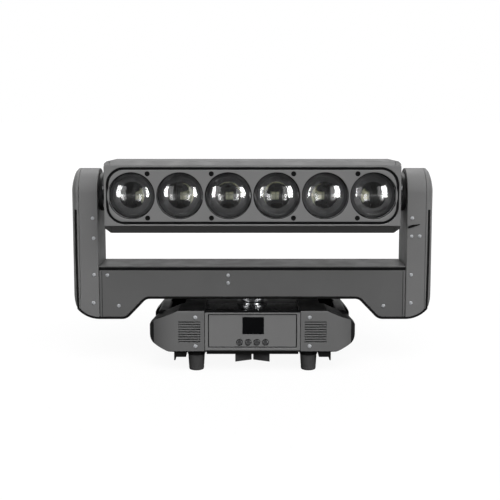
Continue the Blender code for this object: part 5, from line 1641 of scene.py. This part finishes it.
@dataclass
class LightEngine:
    """The six lenses on their carriage, the diodes behind them, and the cooling."""

    lens_x: tuple[float, ...] = LENS_X
    tilt_z: float = TILT_Z
    lens_back: float = -63.5
    rim: float = 2.6
    soft: float = 0.3
    radius: float = 33.3
    foot: float = 33.2
    foot_soft: float = 0.1
    dome: float = 13.0
    dome_rows: int = 36
    window: float = 27.0
    bulge: float = 10.5
    clear: float = 17.5
    emitter: float = 2.2
    emitter_front: float = -31.6
    emitter_back: float = -30.4
    emitter_drop: float = 3.0
    rod: float = 4.0
    rod_depth: Point = (-30.6, 10.5)
    board_half: Point = (212.2, 44.0)
    board: Point = (10.0, 12.0)
    fan_x: float = 100.0
    hub: Profile = ((2.5, 61.4), (11, 61.4), (12, 62.4), (12, 73.6), (11.2, 74.4), (2.5, 74.4))
    blade_count: int = 7
    blade_root: float = 11.6
    blade_tip: float = 29.2
    blade_chord: float = 13.0
    blade_wall: float = 1.4
    blade_y: float = 67.9
    blade_twist: Point = (0.95, 0.5)

    def cap(self, radius: float, rise: float, start: float) -> Outline:
        """Profile of a round cap from its pole to its rim.

        Args:
            radius: radius of the rim.
            rise: height of the pole over the rim, along the axis.
            start: depth of the rim.

        Returns:
            Radius and depth of each point.
        """
        ball = (radius ** 2 + rise ** 2) / (2 * abs(rise))
        reach = math.atan2(radius, ball - abs(rise))
        turns = [reach * row / self.dome_rows for row in range(self.dome_rows + 1)]
        sign = math.copysign(1, rise)
        return [(ball * math.sin(a), start + rise - sign * ball * (1 - math.cos(a))) for a in turns]

    def lens(self, index: int, x: float) -> None:
        """A thick lens with a bulged back, a rim and outer back painted dark grey as shade, and a domed
        front.

        Args:
            index: number of the lens, from the left.
            x: its place.
        """
        back, base = self.lens_back, self.lens_back - self.rim
        bulge = self.cap(self.window, self.bulge, back)
        edge = [spot for spot in bulge[1:-1] if spot[0] >= self.clear]
        edge += [(self.window, back), (self.radius - self.soft, back), (self.radius, back - self.soft)]
        edge += [(self.radius, base + self.foot_soft), (self.foot, base)]
        clear = [spot for spot in bulge if spot[0] < self.clear] + edge[:1]
        shape = Shape()
        # Painted shade: the rim and the outer back take the dark grey coat.
        for profile in (clear, self.cap(self.foot, -self.dome, base), edge):
            shape.coat = int(profile is edge)
            shape.lathe(profile, Plane.FRONT, (x, self.tilt_z), steps=ROUND)
        item = shape.piece(f"lens_{index}_optic", LENS_ACRYLIC, LENS_EDGE)
        item.visible_shadow = False
        fit(item, "lens_carriage", "lens_glass", f"lens_{index}")

    def diodes(self) -> None:
        """The diode board with its light rods and six emitters."""
        board = rounded_box(*self.board_half, radius=2.0, centre=(0, self.tilt_z))
        shape = Shape().plate(board, Plane.FRONT, *self.board, edge=0.2)
        for x in self.lens_x:
            spot = (x, self.tilt_z - self.emitter_drop)
            shape.coat = 0
            rod = rounded_box(self.rod, self.rod, radius=0.5, centre=spot, steps=3)
            shape.plate(rod, Plane.FRONT, *self.rod_depth, edge=0.3)
            shape.coat = 1
            chip = rounded_box(self.emitter, self.emitter, radius=0.2, centre=spot, steps=3)
            shape.plate(chip, Plane.FRONT, self.emitter_front, self.emitter_back, edge=0.1)
        fit(shape.piece("diode_board", BOARD, PHOSPHOR), "head", "circuit_board", "led_board")

    def fan(self, side: Side) -> None:
        """A fan rotor with a moulded hub and seven twisted blades.

        Args:
            side: end of the light.
        """
        spot = (side.value * self.fan_x, self.tilt_z)
        node = f"fan_rotor_{side.word}"
        hub = Shape().lathe(self.hub, Plane.FRONT, spot, closed=True).piece(f"fan_hub_{side.word}", NYLON)
        fit(hub, node, "black_plastic", node)
        fit(self.blades(f"fan_blades_{side.word}", spot), node, "black_plastic")

    def blades(self, name: str, spot: Point) -> Piece:
        """Twisted blades round a hub.

        Args:
            name: name of the piece.
            spot: X and Z of the hub.

        Returns:
            The piece.
        """
        recipe = Recipe("fan_blades", NYLON, {
            "Root": self.blade_root, "Tip": self.blade_tip, "Chord": self.blade_chord,
            "Thickness": self.blade_wall, "Hub X": spot[0], "Hub Y": self.blade_y, "Hub Z": spot[1],
        }, self.blade_count)
        given = recipe.given
        root, tip = recipe.vector(given["Root"]), recipe.vector(given["Tip"])
        run = recipe.add("GeometryNodeCurvePrimitiveLine", {"Start": root, "End": tip})
        fine = recipe.add("GeometryNodeResampleCurve", {"Curve": run, "Count": 9})
        first, last = self.blade_twist
        twist = recipe.add("ShaderNodeMapRange", {
            "Value": recipe.add("GeometryNodeSplineParameter"), "To Min": first, "To Max": last,
        })
        leaned = recipe.add("GeometryNodeSetCurveTilt", {"Curve": fine, "Tilt": twist})
        section = recipe.add("GeometryNodeCurvePrimitiveQuadrilateral", {
            "Width": given["Chord"], "Height": given["Thickness"],
        })
        line = recipe.add("GeometryNodeMeshLine", {"Count": given["Count"], "Offset": (0.0, 0.0, 0.0)})
        turn = recipe.turns(2 * math.pi / self.blade_count)
        spin = recipe.add("FunctionNodeAxisAngleToRotation", {"Axis": (0.0, 1.0, 0.0), "Angle": turn})
        ring = recipe.add("GeometryNodeInstanceOnPoints", {
            "Points": line, "Instance": recipe.sweep(leaned, section), "Rotation": spin,
        })
        hub = recipe.vector(given["Hub X"], given["Hub Y"], given["Hub Z"])
        return recipe.grow(name, recipe.add("GeometryNodeTransform", {"Geometry": ring, "Translation": hub}))

    def build(self) -> None:
        """Make the optics and finish the hidden drive."""
        for index, x in enumerate(self.lens_x, 1):
            self.lens(index, x)
        self.diodes()
        for side in Side:
            self.fan(side)
        carriage = soften("lens_carriage", "zoom_carriage", NYLON, radius=0.4)
        fit(carriage, "lens_carriage", "black_plastic", "lens_carriage")
        dress(EXTRUDED, "heat_sink")
        dress(STEEL_COAT, "fan_bracket")
        dress(TURNED_STEEL, "zoom_screw", "zoom_guides", "zoom_motor")


@dataclass(frozen=True)
class Softbox:
    """A lamp with a wide soft face; place and size in metres, power in watts."""

    name: str
    spot: Spot
    size: Point
    power: float
    polished_only: bool = True


@dataclass(frozen=True)
class Wash:
    """Soft light on matt surfaces from round about one direction."""

    aim: Spot
    tight: float
    level: float


@dataclass
class Studio:
    """Camera, lamps, surroundings and floor."""

    camera: Spot = (-3.7, -1420.0, 388.7)
    pitch: float = 6.5
    lens: float = 65.4
    shift: float = -0.0688
    room: float = 0.08
    # The first wash comes evenly from all round.
    washes: tuple[Wash, ...] = (
        Wash((0, 0, 1), 0.0, 0.015), Wash((0.2, -0.72, 0.66), 6.0, 4.0),
        Wash((0.1, -0.5, 0.87), 3.0, 1.2), Wash((0.0, 0.9, 0.3), 5.0, 2.2),
    )
    aim: Spot = (0.0, 0.0, 0.26)
    lamps: tuple[Softbox, ...] = (
        Softbox("left_softbox", (-1.25, -0.85, 0.46), (0.42, 0.88), 26),
        Softbox("right_softbox", (1.15, -0.95, 0.46), (0.5, 0.9), 36),
        Softbox("left_scrim", (-1.2, -1.1, 0.55), (1.0, 1.0), 11),
        Softbox("right_scrim", (1.15, -1.15, 0.55), (1.1, 1.0), 12),
        Softbox("rear_softbox", (0.0, 0.7, 1.7), (1.6, 0.6), 18, polished_only=False),
    )
    floor_half: float = 30.0
    floor_matt: float = 0.07
    glow: float = 0.92

    def shoot(self) -> None:
        """Set the camera where the photograph was taken from."""
        data = bpy.data.cameras.new("camera")
        data.lens, data.sensor_width, data.shift_y = self.lens, 36.0, self.shift
        data.clip_end = 100.0
        item = add_object("camera", data)
        item.location = [value * MM for value in self.camera]
        item.rotation_euler = (math.radians(90 - self.pitch), 0, 0)
        bpy.context.scene.camera = item
        bpy.context.scene.view_settings.view_transform = "Standard"

    def polished(self) -> bpy.types.Collection:
        """All pieces with glass, chrome or lacquer on them.

        Returns:
            A collection of those pieces.
        """
        shiny = {finish.name for finish in (LENS_ACRYLIC, TURNED_STEEL, KEYCAP)}
        group = bpy.data.collections.new("polished_pieces")
        for item in bpy.context.scene.objects:
            if item.type == "MESH" and any(coat and coat.name in shiny for coat in item.data.materials):
                group.objects.link(item)
        return group

    def lamp(self, box: Softbox, polished: bpy.types.Collection) -> None:
        """A softbox that looks at the middle of the light and shows in reflections.

        Args:
            box: the softbox.
            polished: the pieces that it may be kept to.
        """
        data = bpy.data.lights.new(box.name, "AREA")
        data.shape = "RECTANGLE"
        data.size, data.size_y = box.size
        data.energy = box.power
        item = add_object(box.name, data)
        item.location = box.spot
        item.rotation_euler = (Vector(self.aim) - Vector(box.spot)).to_track_quat("-Z", "Y").to_euler()
        item.visible_diffuse = False
        if box.polished_only:
            item.light_linking.receiver_collection = polished

    def seen(self, tree: Tree, share: Socket) -> Socket:
        """One for rays from the camera and, as far as a share allows, for rays from gloss or through glass.

        Args:
            tree: tree of the world or of a material.
            share: how much of the background gloss and glass show.

        Returns:
            The socket with the level.
        """
        path = add_node(tree, "ShaderNodeLightPath").outputs
        clear = calculate(tree, "MAXIMUM", path["Is Glossy Ray"], path["Is Transmission Ray"])
        return calculate(tree, "MAXIMUM", path["Is Camera Ray"], calculate(tree, "MULTIPLY", clear, share))

    def wash(self, tree: Tree, way: Socket, light: Wash) -> Socket:
        """Strength of a wash of light.

        Args:
            tree: tree of the world.
            way: direction looked in.
            light: the wash.

        Returns:
            The socket with the strength.
        """
        aim = Vector(light.aim).normalized()
        near = add_node(tree, "ShaderNodeVectorMath", {0: way, 1: aim}, operation="DOT_PRODUCT")
        front = calculate(tree, "MAXIMUM", near.outputs["Value"], 0.0)
        return calculate(tree, "MULTIPLY", calculate(tree, "POWER", front, light.tight), light.level)

    def surround(self) -> None:
        """White surroundings, a dim room behind the camera and soft light from above and ahead."""
        world = bpy.data.worlds.new("studio")
        bpy.context.scene.world = world
        tree = empty_tree(world)
        way = add_node(tree, "ShaderNodeTexCoord").outputs["Generated"]
        axes = add_node(tree, "ShaderNodeSeparateXYZ", {"Vector": way})
        share = add_node(tree, "ShaderNodeMapRange", {
            "Value": axes.outputs["Y"], "From Min": 0.0, "From Max": 0.5, "To Min": self.room, "To Max": 1.0,
        }, interpolation_type="SMOOTHSTEP")
        level, *more = [self.wash(tree, way, light) for light in self.washes]
        for strength in more:
            level = calculate(tree, "ADD", level, strength)
        path = add_node(tree, "ShaderNodeLightPath").outputs
        seen = self.seen(tree, share.outputs["Result"])
        both = calculate(tree, "ADD", seen, calculate(tree, "MULTIPLY", path["Is Diffuse Ray"], level))
        light = add_node(tree, "ShaderNodeBackground", {"Color": WHITE, "Strength": both})
        add_node(tree, "ShaderNodeOutputWorld", {"Surface": light.outputs[0]})

    def floor(self) -> None:
        """A wide pale floor that keeps the object's shadow, with painted shadow too: near the object it glows
        less and shows less in gloss and glass.
        """
        mesh = bpy.data.meshes.new("floor")
        half = self.floor_half
        corners = [(-half, -half, 0), (half, -half, 0), (half, half, 0), (-half, half, 0)]
        mesh.from_pydata(corners, [], [(0, 1, 2, 3)])
        material = bpy.data.materials.new("pale_studio_floor")
        tree = empty_tree(material)
        place = add_node(tree, "ShaderNodeTexCoord").outputs["Object"]
        reach = add_node(tree, "ShaderNodeVectorMath", {0: place}, operation="LENGTH").outputs["Value"]
        # Painted shadow: the floor's glow and its share in gloss and glass fall off towards the object.
        share, far = (
            add_node(tree, "ShaderNodeMapRange", {
                "Value": reach, "From Min": 0.4, "From Max": end, "To Min": low, "To Max": 1.0,
            }).outputs["Result"] for end, low in ((2.0, 0.1), (1.6, self.glow))
        )
        level = calculate(tree, "MULTIPLY", self.seen(tree, share), far)
        light = add_node(tree, "ShaderNodeEmission", {"Color": WHITE, "Strength": level})
        matt = add_node(tree, "ShaderNodeBsdfDiffuse", {"Color": (*[self.floor_matt] * 3, 1)})
        both = add_node(tree, "ShaderNodeAddShader", {0: light.outputs[0], 1: matt.outputs[0]})
        add_node(tree, "ShaderNodeOutputMaterial", {"Surface": both.outputs[0]})
        mesh.materials.append(material)
        item = add_object("floor", mesh)

    def build(self) -> None:
        """Set up the whole studio, when all pieces are made."""
        self.shoot()
        self.surround()
        self.floor()
        polished = self.polished()
        for box in self.lamps:
            self.lamp(box, polished)


def main() -> None:
    """Build every sub-assembly in order."""
    logging.basicConfig(level=logging.INFO, format="%(name)s: %(message)s")
    for kind in (Base, MenuPanel, RearSockets, PanDrive, Yoke, TiltAxles, Head, LightEngine, Studio):
        kind().build()
        LOG.info("%s done", kind.__name__)


if __name__ == "__main__":
    main()
